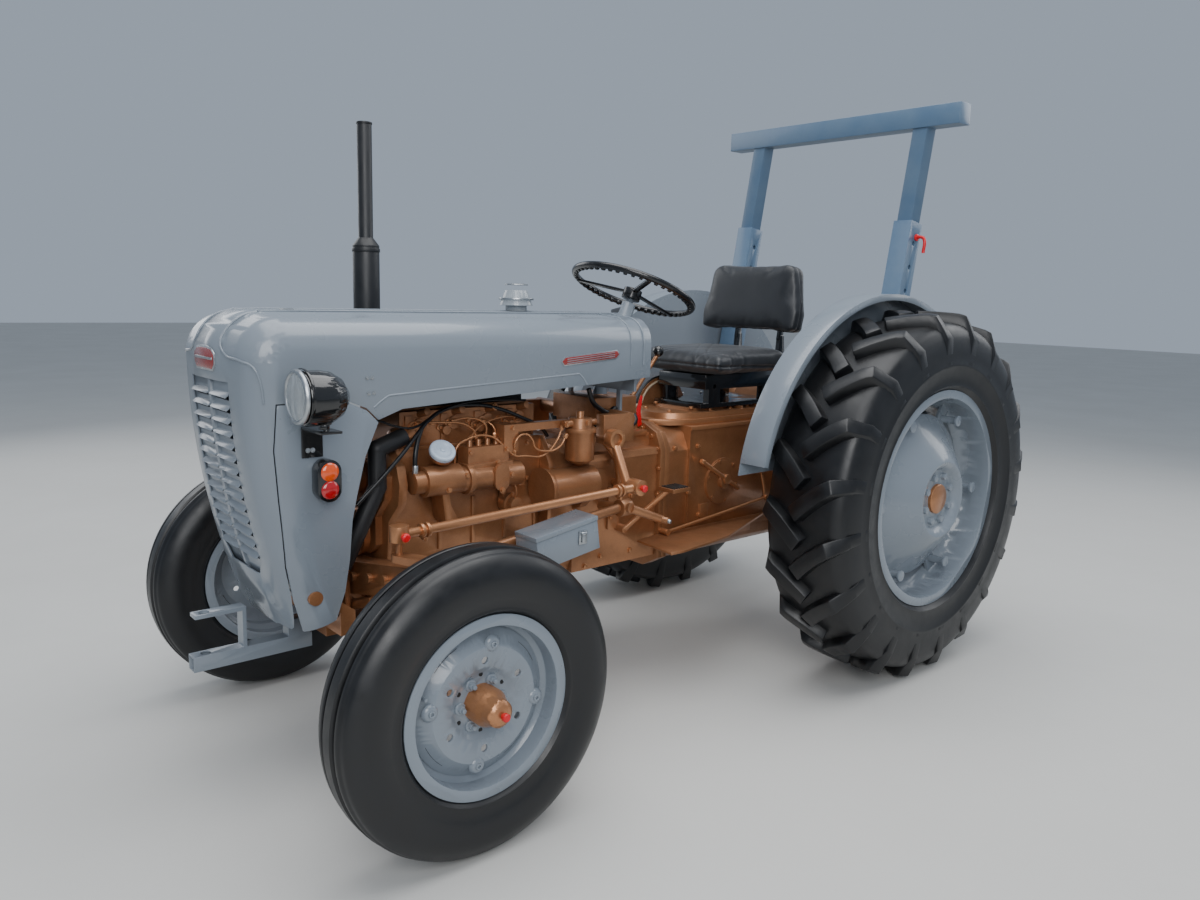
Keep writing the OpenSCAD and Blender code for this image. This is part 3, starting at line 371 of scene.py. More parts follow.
# Amber lens of the indicator, pressed acrylic.
AMBER_LENS = Finish("Amber_acrylic", "#e8561a", "#c43c0c", rough=0.12, coat=0.8, patch_mm=12, patch=0.4,
                    grain_mm=2.2, grain=0.05, ior=1.49)
# Red lens of the tail light, pressed acrylic.
RED_LENS = Finish("Red_acrylic", "#b3121c", "#8f0c15", rough=0.12, coat=0.8, patch_mm=12, patch=0.4,
                  grain_mm=2.2, grain=0.05, ior=1.49)
# Pale blue moulded cap of the oil filler.
PALE_PLASTIC = Finish("Pale_moulded_cap", "#b9c7d6", "#9fb0c2", rough=0.35, patch_mm=12, grain_mm=1.2,
                      grain=0.02)
# Painted shade: near black standing in for the shadow inside openings, as inside the radiator's core and
# behind the grille; here it fills the slots and holes of the front wheels' discs.
OPENING_SHADE = Finish("Painted_opening_shade", "#0c0d0e", "#17181a", rough=0.6, grain_mm=1.2, grain=0.08)
# Rocker cover and battery tray: satin dark paint with an oily film.
DARK_SATIN = Finish("Satin_dark_paint", "#1f2124", "#33302b", rough=0.4, patch_mm=50, grain_mm=2.0,
                    grain=0.04, dust=0.1)
# Smoked plastic bowl of the pre-cleaner.
SMOKED_BOWL = Finish("Smoked_polycarbonate", "#8f969c", "#a9afb3", rough=0.22, coat=0.4, patch_mm=30,
                     grain_mm=1.5, grain=0.01, ior=1.58)
# Clear lens glass over a bright reflector reads as a pale, fluted, mirror-like disc.
REFLECTOR = Finish("Silvered_reflector", "#e4e8ea", "#c4cacd", rough=0.12, metal=1.0, patch_mm=20,
                   grain_mm=2.0, grain=0.02)
# Injection-moulded black wheel rim.
WHEEL_PLASTIC = Finish("Black_moulded_rim", "#0b0b0d", "#131417", rough=0.2, coat=0.3, patch_mm=60,
                       grain_mm=1.4, grain=0.01)
# Off-white insulation on a few wires.
PALE_WIRE = Finish("Pale_wire_sleeve", "#b7a68e", "#8f7d66", rough=0.45, patch_mm=20, grain_mm=1.0,
                   grain=0.02)


@dataclass(frozen=True)
class SeatVinyl(Surface):
    """Expanded vinyl over foam: an embossed leather-like grain with a soft sheen.

    Attributes:
        name: The material's plain name.
        colour: Main colour, sRGB hex.
        worn: The colour that the clouds tend to, sRGB hex.
        pore_mm: Spacing of the embossed pores.
        cloud_mm: Width of the clouds.
    """

    name: str = "Embossed_black_vinyl"
    colour: str = "#15171b"
    worn: str = "#23262b"
    pore_mm: float = 2.2
    cloud_mm: float = 1000 / 14

    def link_nodes(self, tree: Tree, shader: bpy.types.Node, where: Socket) -> None:
        """Links the vinyl's pores and clouds to the shader.

        Args:
            tree: The material's node tree.
            shader: Its Principled shader.
            where: The object coordinates.
        """
        cells = add_node(tree, "ShaderNodeTexVoronoi", {"Scale": 1000 / self.pore_mm}, {"Vector": where},
                         feature="DISTANCE_TO_EDGE")
        rise = ranged(tree, cells.outputs["Distance"], (0.0, 0.25), (0.0, 1.0))
        cloud = noise(tree, where, self.cloud_mm, 5.0)
        tone = mixed(tree, cloud, linear(self.colour), linear(self.worn))
        tree.links.new(bumped(tree, rise, 0.06), shader.inputs["Normal"])
        tree.links.new(tone, shader.inputs["Base Color"])
        tree.links.new(ranged(tree, cloud, (0.0, 1.0), (0.3, 0.48)), shader.inputs["Roughness"])
        shader.inputs["Sheen Weight"].default_value = 0.12


@dataclass(frozen=True)
class LensGlass(Surface):
    """Pressed lens glass with upright flutes, clear enough to show the reflector.

    Attributes:
        name: The material's plain name.
        flute_mm: Width of one flute.
    """

    name: str = "Fluted_lens_glass"
    flute_mm: float = 6.0

    def link_nodes(self, tree: Tree, shader: bpy.types.Node, where: Socket) -> None:
        """Links the flutes to the shader and makes it clear glass.

        Args:
            tree: The material's node tree.
            shader: Its Principled shader.
            where: The object coordinates.
        """
        flutes = add_node(tree, "ShaderNodeTexWave",
                          {"Scale": 1000 / self.flute_mm / 20, "Distortion": 0.4},
                          {"Vector": where}, bands_direction="Y")
        tree.links.new(bumped(tree, flutes.outputs["Fac"], 0.8), shader.inputs["Normal"])
        shader.inputs["Base Color"].default_value = linear("#f2f5f6")
        shader.inputs["Roughness"].default_value = 0.04
        shader.inputs["Transmission Weight"].default_value = 0.85
        shader.inputs["IOR"].default_value = 1.5


VINYL = SeatVinyl()
LENS = LensGlass()


# Modelling tools


class Plane(Enum):
    """The plane that a flat outline is drawn in, and where its third number points."""

    SIDE = "outline in x and z, raised along y"
    CROSS = "outline in y and z, raised along x"
    TOP = "outline in x and y, raised along z"

    def place(self, u: float, v: float, w: float) -> Vector:
        """Turns an outline's point to a place in the part's frame.

        Args:
            u: First number of the outline's point, in millimetres.
            v: Second number.
            w: Distance along the plane's normal axis.

        Returns:
            The place in metres.
        """
        if self is Plane.SIDE:
            return at(u, w, v)
        if self is Plane.CROSS:
            return at(w, u, v)
        return at(u, v, w)


def deselect() -> None:
    """Leaves nothing selected, so that the next operator acts on its own piece alone."""
    if bpy.context.object and bpy.context.object.mode != "OBJECT":
        bpy.ops.object.mode_set(mode="OBJECT")
    bpy.ops.object.select_all(action="DESELECT")


def select_only(*pieces: Object) -> Object:
    """Selects these pieces and makes the first one active.

    Args:
        *pieces: The pieces to select.

    Returns:
        The active piece.
    """
    deselect()
    for piece in pieces:
        piece.select_set(True)
    bpy.context.view_layer.objects.active = pieces[0]
    return pieces[0]


def named(name: str) -> Object:
    """Names the primitive that was just added and applies its place.

    Args:
        name: The piece's name.

    Returns:
        The piece.
    """
    piece = bpy.context.object
    piece.name = name
    piece.data.name = name
    bpy.ops.object.transform_apply(location=True, rotation=True, scale=True)
    return piece


def modify(piece: Object, kind: str, **settings: object) -> Object:
    """Adds a modifier with its settings and applies it.

    Args:
        piece: The piece to change.
        kind: The modifier's type.
        **settings: Attributes of the modifier.

    Returns:
        The same piece.
    """
    select_only(piece)
    modifier = piece.modifiers.new(kind.title(), kind)
    for key, value in settings.items():
        setattr(modifier, key, value)
    bpy.ops.object.modifier_apply(modifier=modifier.name)
    return piece


def rounded(piece: Object, width: float, segments: int = 2, angle: float = 35.0) -> Object:
    """Rounds the sharp edges of a piece.

    Args:
        piece: The piece to round.
        width: Width of the rounding in millimetres.
        segments: Number of faces across it.
        angle: Edges sharper than this, in degrees, are rounded.

    Returns:
        The same piece.
    """
    if width > 0:
        modify(piece, "BEVEL", width=width * MM, segments=segments, limit_method="ANGLE",
               angle_limit=math.radians(angle), use_clamp_overlap=True)
    return piece


def smoothed(piece: Object, angle: float = 32.0) -> Object:
    """Shades a piece smooth, and keeps the edges sharper than an angle crisp.

    Args:
        piece: The piece to shade.
        angle: The angle in degrees.

    Returns:
        The same piece.
    """
    select_only(piece)
    bpy.ops.object.shade_smooth_by_angle(angle=math.radians(angle))
    return piece


def clean(piece: Object, distance: float = 0.02) -> Object:
    """Merges doubled points and turns every face outwards.

    Args:
        piece: The piece to clean.
        distance: Points closer than this, in millimetres, are merged.

    Returns:
        The same piece.
    """
    select_only(piece)
    bpy.ops.object.mode_set(mode="EDIT")
    bpy.ops.mesh.select_all(action="SELECT")
    bpy.ops.mesh.remove_doubles(threshold=distance * MM)
    bpy.ops.mesh.delete_loose()
    bpy.ops.mesh.select_all(action="SELECT")
    bpy.ops.mesh.normals_make_consistent(inside=False)
    bpy.ops.object.mode_set(mode="OBJECT")
    return piece


def block(name: str, low: Point, high: Point, bevel: float = 2.0, segments: int = 2) -> Object:
    """Makes a box with rounded edges.

    Args:
        name: The piece's name.
        low: Its least corner.
        high: Its greatest corner.
        bevel: Width of the edge rounding.
        segments: Faces across the rounding.

    Returns:
        The piece.
    """
    deselect()
    middle = [(a + b) / 2 for a, b in zip(low, high)]
    size = [(b - a) * MM for a, b in zip(low, high)]
    bpy.ops.mesh.primitive_cube_add(size=1, location=at(*middle), scale=size)
    return rounded(named(name), bevel, segments)


def drum(
    name: str,
    start: Point,
    end: Point,
    radius: float,
    radius_end: float | None = None,
    sides: int = 28,
    bevel: float = 1.0,
) -> Object:
    """Makes a round bar or cone between two places.

    Args:
        name: The piece's name.
        start: Middle of its first end.
        end: Middle of its other end.
        radius: Radius at the start.
        radius_end: Radius at the end, or the same when left out.
        sides: Number of sides.
        bevel: Width of the rounding of its two rims.

    Returns:
        The piece.
    """
    deselect()
    first, last = at(*start), at(*end)
    along = last - first
    bpy.ops.mesh.primitive_cone_add(
        vertices=sides,
        radius1=radius * MM,
        radius2=(radius if radius_end is None else radius_end) * MM,
        depth=along.length,
        location=(first + last) / 2,
        rotation=along.to_track_quat("Z", "Y").to_euler(),
    )
    return rounded(named(name), bevel, 2, 50)


def ring_of(name: str, places: Sequence[Vector], filled: bool = False) -> Object:
    """Adds a circle with one point for each place and shapes it to them.

    Args:
        name: The piece's name.
        places: The places in metres, in order round the ring.
        filled: Whether a face fills the ring.

    Returns:
        The piece.
    """
    deselect()
    bpy.ops.mesh.primitive_circle_add(
        vertices=len(places), radius=0.01, fill_type="NGON" if filled else "NOTHING"
    )
    piece = named(name)
    for vertex, place in zip(piece.data.vertices, places):
        vertex.co = place
    return piece


def turned(
    name: str,
    profile: Sequence[Pair],
    base: Point,
    axis: Point,
    sides: int = 48,
    bevel: float = 0.0,
) -> Object:
    """Turns a closed profile about an axis, as on a lathe.

    Args:
        name: The piece's name.
        profile: Points of radius and distance along the axis, in millimetres.
        base: The place on the axis that distances start from.
        axis: The axis's direction.
        sides: Number of steps round.
        bevel: Width of the edge rounding.

    Returns:
        The piece.
    """
    direction = Vector(axis).normalized()
    out = direction.orthogonal().normalized()
    origin = at(*base)
    places = [origin + out * (r * MM) + direction * (d * MM) for r, d in profile]
    piece = ring_of(name, places)
    bpy.ops.object.mode_set(mode="EDIT")
    bpy.ops.mesh.select_all(action="SELECT")
    bpy.ops.mesh.spin(steps=sides, angle=math.tau, center=origin, axis=direction)
    bpy.ops.object.mode_set(mode="OBJECT")
    clean(piece)
    return rounded(piece, bevel)


def plate(
    name: str,
    plane: Plane,
    outline: Sequence[Pair],
    start: float,
    end: float,
    bevel: float = 1.5,
    segments: int = 2,
) -> Object:
    """Raises a flat outline to a solid with rounded edges.

    Args:
        name: The piece's name.
        plane: The plane that the outline is drawn in.
        outline: The outline's points in millimetres.
        start: Where the solid starts along the plane's normal.
        end: Where it ends.
        bevel: Width of the edge rounding.
        segments: Faces across the rounding.

    Returns:
        The piece.
    """
    piece = ring_of(name, [plane.place(u, v, start) for u, v in outline], filled=True)
    bpy.ops.object.mode_set(mode="EDIT")
    bpy.ops.mesh.select_all(action="SELECT")
    rise = plane.place(0, 0, end) - plane.place(0, 0, start)
    bpy.ops.mesh.extrude_region_move(TRANSFORM_OT_translate={"value": rise})
    bpy.ops.object.mode_set(mode="OBJECT")
    clean(piece)
    return rounded(piece, bevel, segments)


def pipe(
    name: str,
    route: Sequence[Point],
    radius: float,
    closed: bool = False,
    crisp: bool = False,
    sides: int = 3,
) -> Object:
    """Makes a round tube along a smooth route.

    Args:
        name: The piece's name.
        route: Places that the tube passes through.
        radius: Radius of the tube in millimetres.
        closed: Whether the route is a loop.
        crisp: Whether the route runs straight from place to place.
        sides: Resolution round the tube; 3 gives ten sides.

    Returns:
        The piece, as a mesh.
    """
    deselect()
    bpy.ops.curve.primitive_bezier_curve_add()
    curve = bpy.context.object
    curve.data.resolution_u = 1 if crisp else 7
    spline = curve.data.splines[0]
    spline.bezier_points.add(len(route) - 2)
    for knot, place in zip(spline.bezier_points, route):
        knot.co = at(*place)
        knot.handle_left_type = knot.handle_right_type = "VECTOR" if crisp else "AUTO"
    spline.use_cyclic_u = closed
    curve.data.bevel_depth = radius * MM
    curve.data.bevel_resolution = sides
    curve.data.use_fill_caps = not closed
    bpy.ops.object.convert(target="MESH")
    piece = named(name)
    clean(piece)
    return smoothed(piece, 60)


def joined(name: str, pieces: Iterable[Object]) -> Object:
    """Joins several pieces into one.

    Args:
        name: The name of the joined piece.
        pieces: The pieces, which are used up.

    Returns:
        The joined piece.
    """
    parts = list(pieces)
    whole = select_only(*parts)
    if len(parts) > 1:
        bpy.ops.object.join()
    whole.name = name
    whole.data.name = name
    return whole


def copied(piece: Object, name: str, change: Matrix) -> Object:
    """Copies a piece with its own mesh and changes that mesh's place.

    Args:
        piece: The piece to copy.
        name: The copy's name.
        change: The move, turn or mirror to apply to the mesh.

    Returns:
        The copy.
    """
    twin = piece.copy()
    twin.data = piece.data.copy()
    twin.name = name
    bpy.context.scene.collection.objects.link(twin)
    twin.data.transform(change)
    if change.determinant() < 0:
        twin.data.flip_normals()
    return twin


def move(x: float, y: float, z: float) -> Matrix:
    """A move in millimetres as a matrix."""
    return Matrix.Translation(Vector((x, y, z)) * MM)


def turn_about(place: Point, axis: Point, degrees: float) -> Matrix:
    """A turn about an axis through a place.

    Args:
        place: A place on the axis.
        axis: The axis's direction.
        degrees: The angle, right-handed about the axis.

    Returns:
        The turn as a matrix.
    """
    centre = at(*place)
    return (
        Matrix.Translation(centre)
        @ Matrix.Rotation(math.radians(degrees), 4, Vector(axis))
        @ Matrix.Translation(-centre)
    )


def repeated(piece: Object, name: str, changes: Iterable[Matrix]) -> Object:
    """Copies one modelled piece to several places and joins the copies.

    Args:
        piece: The piece, which is used up.
        name: The name of the joined copies.
        changes: One matrix for each copy.

    Returns:
        The joined copies.
    """
    twins = [copied(piece, f"{name}_{i}", change) for i, change in enumerate(changes)]
    bpy.data.objects.remove(piece)
    return joined(name, twins)


def bolts(name: str, places: Sequence[Point], axis: Point, size: float = 8.0) -> Object:
    """Makes hexagon bolt heads on their washers, all facing one way.

    Args:
        name: The name of the joined bolts.
        places: Where each head meets its face.
        axis: The way the heads face.
        size: Radius of the hexagon in millimetres.

    Returns:
        The joined bolts.
    """
    way = Vector(axis).normalized()
    tip = tuple(way * size * 0.9)
    washer_tip = tuple(way * size * 0.2)
    origin = (0.0, 0.0, 0.0)
    head = drum("head", origin, tip, size, size * 0.97, sides=6, bevel=size * 0.1)
    washer = drum("washer", origin, washer_tip, size * 1.35, sides=16, bevel=0)
    one = joined(name, [smoothed(head, 25), washer])
    return repeated(one, name, [move(*p) for p in places])


def dressed(
    piece: Object,
    finish: Surface,
    body: str,
    smooth: float | None = 32.0,
) -> Object:
    """Gives a piece its finish and ties it to the body that it moves with.

    Args:
        piece: The piece.
        finish: Its finish.
        body: The body that it rides on.
        smooth: Angle for smooth shading, or None to leave it as it is.

    Returns:
        The same piece.
    """
    if smooth is not None:
        smoothed(piece, smooth)
    piece.data.materials.clear()
    piece.data.materials.append(finish.material())
    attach(piece, body)
    log.info("%s rides on %s", piece.name, body)
    return piece


class Solids:
    """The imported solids, and how they are finished where their shape is right."""

    def __init__(self) -> None:
        """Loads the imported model."""
        self.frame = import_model()
        self.nodes: dict[str, Object] = self.frame["nodes"]
        self.trees: dict[str, BVHTree] = {}
        groups = self.frame["record"]["behaviour"]["bodies"]
        self.body_of = {node: body for body, members in groups.items() for node in members}

    def twin(self, node: str, name: str) -> Object:
        """Copies a solid and merges the copy's loose triangles.

        Args:
            node: The solid's name.
            name: The copy's name.

        Returns:
            The merged copy, which rides on nothing yet.
        """
        source = self.nodes[node]
        twin = source.copy()
        twin.data = source.data.copy()
        twin.name = name
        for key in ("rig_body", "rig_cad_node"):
            del twin[key]
        bpy.context.scene.collection.objects.link(twin)
        twin.parent = None
        return clean(twin)

    def skin(self, node: str, start: Point, aim: Point, lift: float = 0.0) -> Point:
        """Finds where a line from outside first meets a solid's skin.

        Args:
            node: The solid's name.
            start: Where the line starts, in millimetres from the rear axle.
            aim: A place that the line points to.
            lift: How far out from the skin the found place lies.

        Returns:
            The place on the skin, or the start where the line meets nothing.
        """
        if node not in self.trees:
            source = self.nodes[node]
            places = [source.matrix_world @ vertex.co for vertex in source.data.vertices]
            self.trees[node] = BVHTree.FromPolygons(places,
                                                    [face.vertices for face in source.data.polygons])
        origin = at(*start)
        way = (at(*aim) - origin).normalized()
        place, _, _, _ = self.trees[node].ray_cast(origin, way)
        if place is None:
            return start
        return tuple(from_axle(place - way * (lift * MM)))

    def skins(self, node: str, lines: Sequence[tuple[Point, Point]]) -> list[Point]:
        """Finds where several lines first meet a solid's skin, and leaves out those that miss it.

        Args:
            node: The solid's name.
            lines: Each line's start and aim.

        Returns:
            The places on the skin.
        """
        found = [(start, self.skin(node, start, aim)) for start, aim in lines]
        return [place for start, place in found if place != start]

    def finish(self, node: str, finish: Finish, bevel: float = 1.5, smooth: float = 32.0) -> Object:
        """Stands a finished copy in a solid's place: merged, edges rounded, shaded smooth.

        Args:
            node: The solid's name.
            finish: Its finish.
            bevel: Width of the edge rounding in millimetres, or 0 for none.
            smooth: Angle for smooth shading.

        Returns:
            The finished copy.
        """
        twin = self.twin(node, f"{node}_finished")
        select_only(twin)
        bpy.ops.object.mode_set(mode="EDIT")
        bpy.ops.mesh.select_all(action="SELECT")
        bpy.ops.mesh.dissolve_limited(angle_limit=math.radians(0.5))
        bpy.ops.object.mode_set(mode="OBJECT")
        rounded(twin, bevel, 2, 40)
        dressed(twin, finish, self.body_of[node], smooth=smooth)
        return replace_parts(twin, node)


def from_axle(place: Vector) -> Vector:
    """Turns a place in the part's frame back to millimetres from the rear axle."""
    return Vector((place.x / MM - AXLE_SHIFT, place.y / MM, place.z / MM))


def region(piece: Object, finish: Finish, test: Callable[[Vector], bool]) -> Object:
    """Gives some faces of a piece another finish.

    Args:
        piece: The piece.
        finish: The finish of those faces.
        test: Says for a face's corner, in millimetres from the rear axle, whether it lies in the region.

    Returns:
        The same piece.
    """
    piece.data.materials.append(finish.material())
    index = len(piece.data.materials) - 1
    for face in piece.data.polygons:
        if all(test(from_axle(piece.data.vertices[i].co)) for i in face.vertices):
            face.material_index = index
    return piece


def moulded(
    name: str, steps: int, across: int, place: Callable[[float, float, float], Vector]
) -> Object:
    """Raises a grid to a bar and bends it, point by point, to its run.

    Args:
        name: The piece's name.
        steps: Squares along the bar.
        across: Squares across it.
        place: Gives a point's place in metres from 0 to 1 along, -1 to 1 across and 0 or 1 high.

    Returns:
        The piece.
    """
    deselect()
    bpy.ops.mesh.primitive_grid_add(x_subdivisions=steps, y_subdivisions=across, size=2)
    piece = named(name)
    bpy.ops.object.mode_set(mode="EDIT")
    bpy.ops.mesh.select_all(action="SELECT")
    bpy.ops.mesh.extrude_region_move(TRANSFORM_OT_translate={"value": (0, 0, 1)})
    bpy.ops.object.mode_set(mode="OBJECT")
    for vertex in piece.data.vertices:
        along, side, high = vertex.co
        vertex.co = place((along + 1) / 2, side, high)
    return clean(piece)


def corners(piece: Object) -> tuple[Vector, Vector]:
    """The least and the greatest corner of a piece's mesh."""
    places = [vertex.co for vertex in piece.data.vertices]
    low = Vector([min(p[i] for p in places) for i in range(3)])
    high = Vector([max(p[i] for p in places) for i in range(3)])
    return low, high


def between(table: Sequence[Pair], x: float) -> float:
    """Reads a table of pairs at any first number, straight from row to row.

    Args:
        table: Rows of two numbers, the first rising.
        x: Where to read it.

    Returns:
        The second number there.
    """
    if x <= table[0][0]:
        return table[0][1]
    for (x0, y0), (x1, y1) in zip(table, table[1:]):
        if x <= x1:
            return y0 + (y1 - y0) * (x - x0) / (x1 - x0)
    return table[-1][1]


# Studio


@dataclass
class Studio:
    """The photograph's camera, a pale floor and soft lights.

    Attributes:
        eye: The camera's place in millimetres from the rear axle.
        heading: Its heading in degrees, counterclockwise from forwards.
        drop: How far it looks down, in degrees.
        tilt: How far it leans to the right, in degrees.
        lens: Focal length in millimetres on a sensor 36 mm wide.
    """

    eye: Point = (2965.6, 2344.9, 1318.7)
    heading: float = -131.255
    drop: float = 9.615
    tilt: float = 1.56
    lens: float = 27.68

    def camera(self) -> None:
        """Adds the camera and makes it the scene's."""
        heading, drop, tilt = (math.radians(a) for a in (self.heading, self.drop, self.tilt))
        forward = Vector((math.cos(heading) * math.cos(drop), math.sin(heading) * math.cos(drop),
                          -math.sin(drop)))
        right = forward.cross(Vector((0, 0, 1))).normalized()
        up = right.cross(forward)
        across = right * math.cos(tilt) + up * math.sin(tilt)
        upright = up * math.cos(tilt) - right * math.sin(tilt)
        turn = Matrix((across, upright, -forward)).transposed()
        bpy.ops.object.camera_add(location=at(*self.eye), rotation=turn.to_euler())
        camera = bpy.context.object
        camera.data.lens = self.lens
        camera.data.sensor_width = 36
        camera.data.clip_end = 100
        bpy.context.scene.camera = camera

    def floor(self) -> None:
        """Lays a plain pale floor."""
        bpy.ops.mesh.primitive_plane_add(size=60, location=(0, 0, 0))
        floor = bpy.context.object
        floor.name = "Floor"
        pale = Finish("Pale_floor", "#c9c8c4", "#c2c1bd", rough=0.75, patch_mm=900, grain_mm=12, grain=0.0)
        floor.data.materials.append(pale.material())

    def lights(self) -> None:
        """Hangs soft lights overhead and at both sides, and a pale world round them."""
        world = bpy.data.worlds.new("Pale_studio")
        world.use_nodes = True
        world.node_tree.nodes["Background"].inputs["Color"].default_value = linear("#c6d4e6")
        world.node_tree.nodes["Background"].inputs["Strength"].default_value = 0.58
        bpy.context.scene.world = world
        for name, place, aim, size, power in (
            ("Overhead_softbox", (0.3, 0.6, 5.2), (0.2, 0, 0.6), 5.0, 270),
            ("Left_front_softbox", (3.6, 4.6, 3.4), (0.3, 0, 0.7), 3.2, 190),
            ("Right_softbox", (1.5, -5.5, 3.2), (0, 0, 0.8), 3.4, 70),
            ("Back_softbox", (-5.0, 1.5, 3.6), (0, 0, 0.8), 3.0, 70),
        ):
            way = Vector(aim) - Vector(place)
            bpy.ops.object.light_add(type="AREA", location=place,
                                     rotation=way.to_track_quat("-Z", "Y").to_euler())
            light = bpy.context.object
            light.name = name
            light.data.shape = "SQUARE"
            light.data.size = size
            light.data.energy = power

    def build(self) -> None:
        """Sets up camera, floor and lights."""
        self.camera()
        self.floor()
        self.lights()


# Wheels


@dataclass
class RearWheel:
    """A lugged drive tyre on its rim, and the dished disc bolted to it.

    Attributes:
        side: left or right.
        radius: Radius over the lugs.
        half_width: Half the tyre's width.
        bead_r: Radius of the bead seat.
        bead_y: Offset of the beads from the tyre's middle.
        lugs: Number of lugs on one side.
        lug_from: Offset of a lug's nose from the tyre's middle.
        lug_reach: Its length across the tread, over the crown and down the shoulder.
        crown: Offset where the tread turns down over the shoulder.
        track: Distance between the two wheels' middles.
        hub_r: Radius of the copper axle end in the disc.
        run: How a lug trails behind its nose, against its offset from the tyre's middle.
        wall: The carcass from bead to crown, as radius against offset.
    """

    side: str
    radius: float = 645.0
    half_width: float = 161.0
    bead_r: float = 359.3
    bead_y: float = 127.7
    lugs: int = 20
    lug_from: float = -10.0
    lug_reach: float = 196.0
    crown: float = 118.0
    track: float = 1250.0
    hub_r: float = 53.5
    run: tuple[Pair, ...] = ((-10, 4), (40, 52), (80, 84), (118, 110), (162, 130))
    wall: tuple[Pair, ...] = (
        (376, 127.7), (385, 134), (394, 145), (397, 149), (402, 149), (405, 148), (432, 155), (462, 159.5),
        (465, 161), (470, 161), (473, 160), (505, 160.5), (535, 157.5), (560, 153), (582, 146), (598, 134),
        (608, 108), (612, 60), (613, 0),
    )

    @property
    def hub(self) -> Point:
        """The wheel's middle."""
        return (0.0, SIDES[self.side] * self.track / 2, self.radius)

    def surface(self, offset: float) -> float:
        """The carcass radius at an offset from the tyre's middle."""
        rows = sorted((y, r) for r, y in self.wall if r >= 505)
        return between(rows, abs(offset))

    def lug(self, hand: int) -> Object:
        """Models one lug of one side of the tread, at the top of the wheel.

        Args:
            hand: 1 for the side at greater Y, -1 for the other.

        Returns:
            The lug.
        """
        _, middle, axle = self.hub

        def place(along: float, across: float, high: float) -> Vector:
            """Bends the bar round the crown and over the shoulder."""
            travel = self.lug_from + along * self.lug_reach
            offset = min(travel, self.crown + (travel - self.crown) * 0.62)
            drop = max(0.0, travel - self.crown) * 1.15
            foot = self.surface(offset) - 6 - drop * 0.55
            worn = max(0, offset / self.half_width - 0.45) ** 2 * 26
            top = min(self.radius - worn, self.radius) - drop * 0.95
            radius = foot + (max(top, foot + 10) - foot) * high
            width = (25 + 3 * along) * (1.0 if high else 1.32)
            trail = between(self.run, offset) - across * width * 0.8
            offset += across * width * 0.62 * (1 - along) ** 0.6
            angle = -trail / 630
            out = middle + hand * min(offset, self.half_width + 1)
            return at(math.sin(angle) * radius, out, axle + math.cos(angle) * radius)

        piece = moulded(f"rear_lug_{self.side}", 9, 2, place)
        return rounded(piece, 4, 2, 40)

    def tyre(self) -> Object:
        """Builds the carcass and sets the lugs on it.

        Returns:
            The tyre.
        """
        middle = self.hub
        half = [(self.bead_r, self.bead_y), *self.wall]
        profile = [(r, -y) for r, y in half] + [(r, y) for r, y in reversed(half[:-1])]
        carcass = turned("carcass", profile, middle, (0, 1, 0), sides=96)
        step = 360 / self.lugs
        pieces = [smoothed(carcass, 40)]
        for hand in (1, -1):
            shift = 0.0 if hand > 0 else step / 2
            lug = smoothed(self.lug(hand), 35)
            turns = [turn_about(middle, (0, 1, 0), shift + i * step) for i in range(self.lugs)]
            pieces.append(repeated(lug, f"lugs_{hand}", turns))
        tyre = joined(f"Rear_tyre_{self.side}", pieces)
        dressed(tyre, TYRE_RUBBER, f"rear_wheel_{self.side}", smooth=None)
        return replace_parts(tyre, f"rear_tyre_{self.side}")

    def build(self, solids: Solids) -> int:
        """Builds and dresses the wheel.

        Args:
            solids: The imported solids.

        Returns:
            The number of pieces.
        """
        self.tyre()
        rim = solids.finish(f"rear_rim_{self.side}", GREY_PAINT, 1.2)
        inner = self.track / 2 - 120
        region(rim, COPPER_SMOOTH,
               lambda p: math.hypot(p.x, p.z - self.radius) < self.hub_r and abs(p.y) > inner)
        return 2


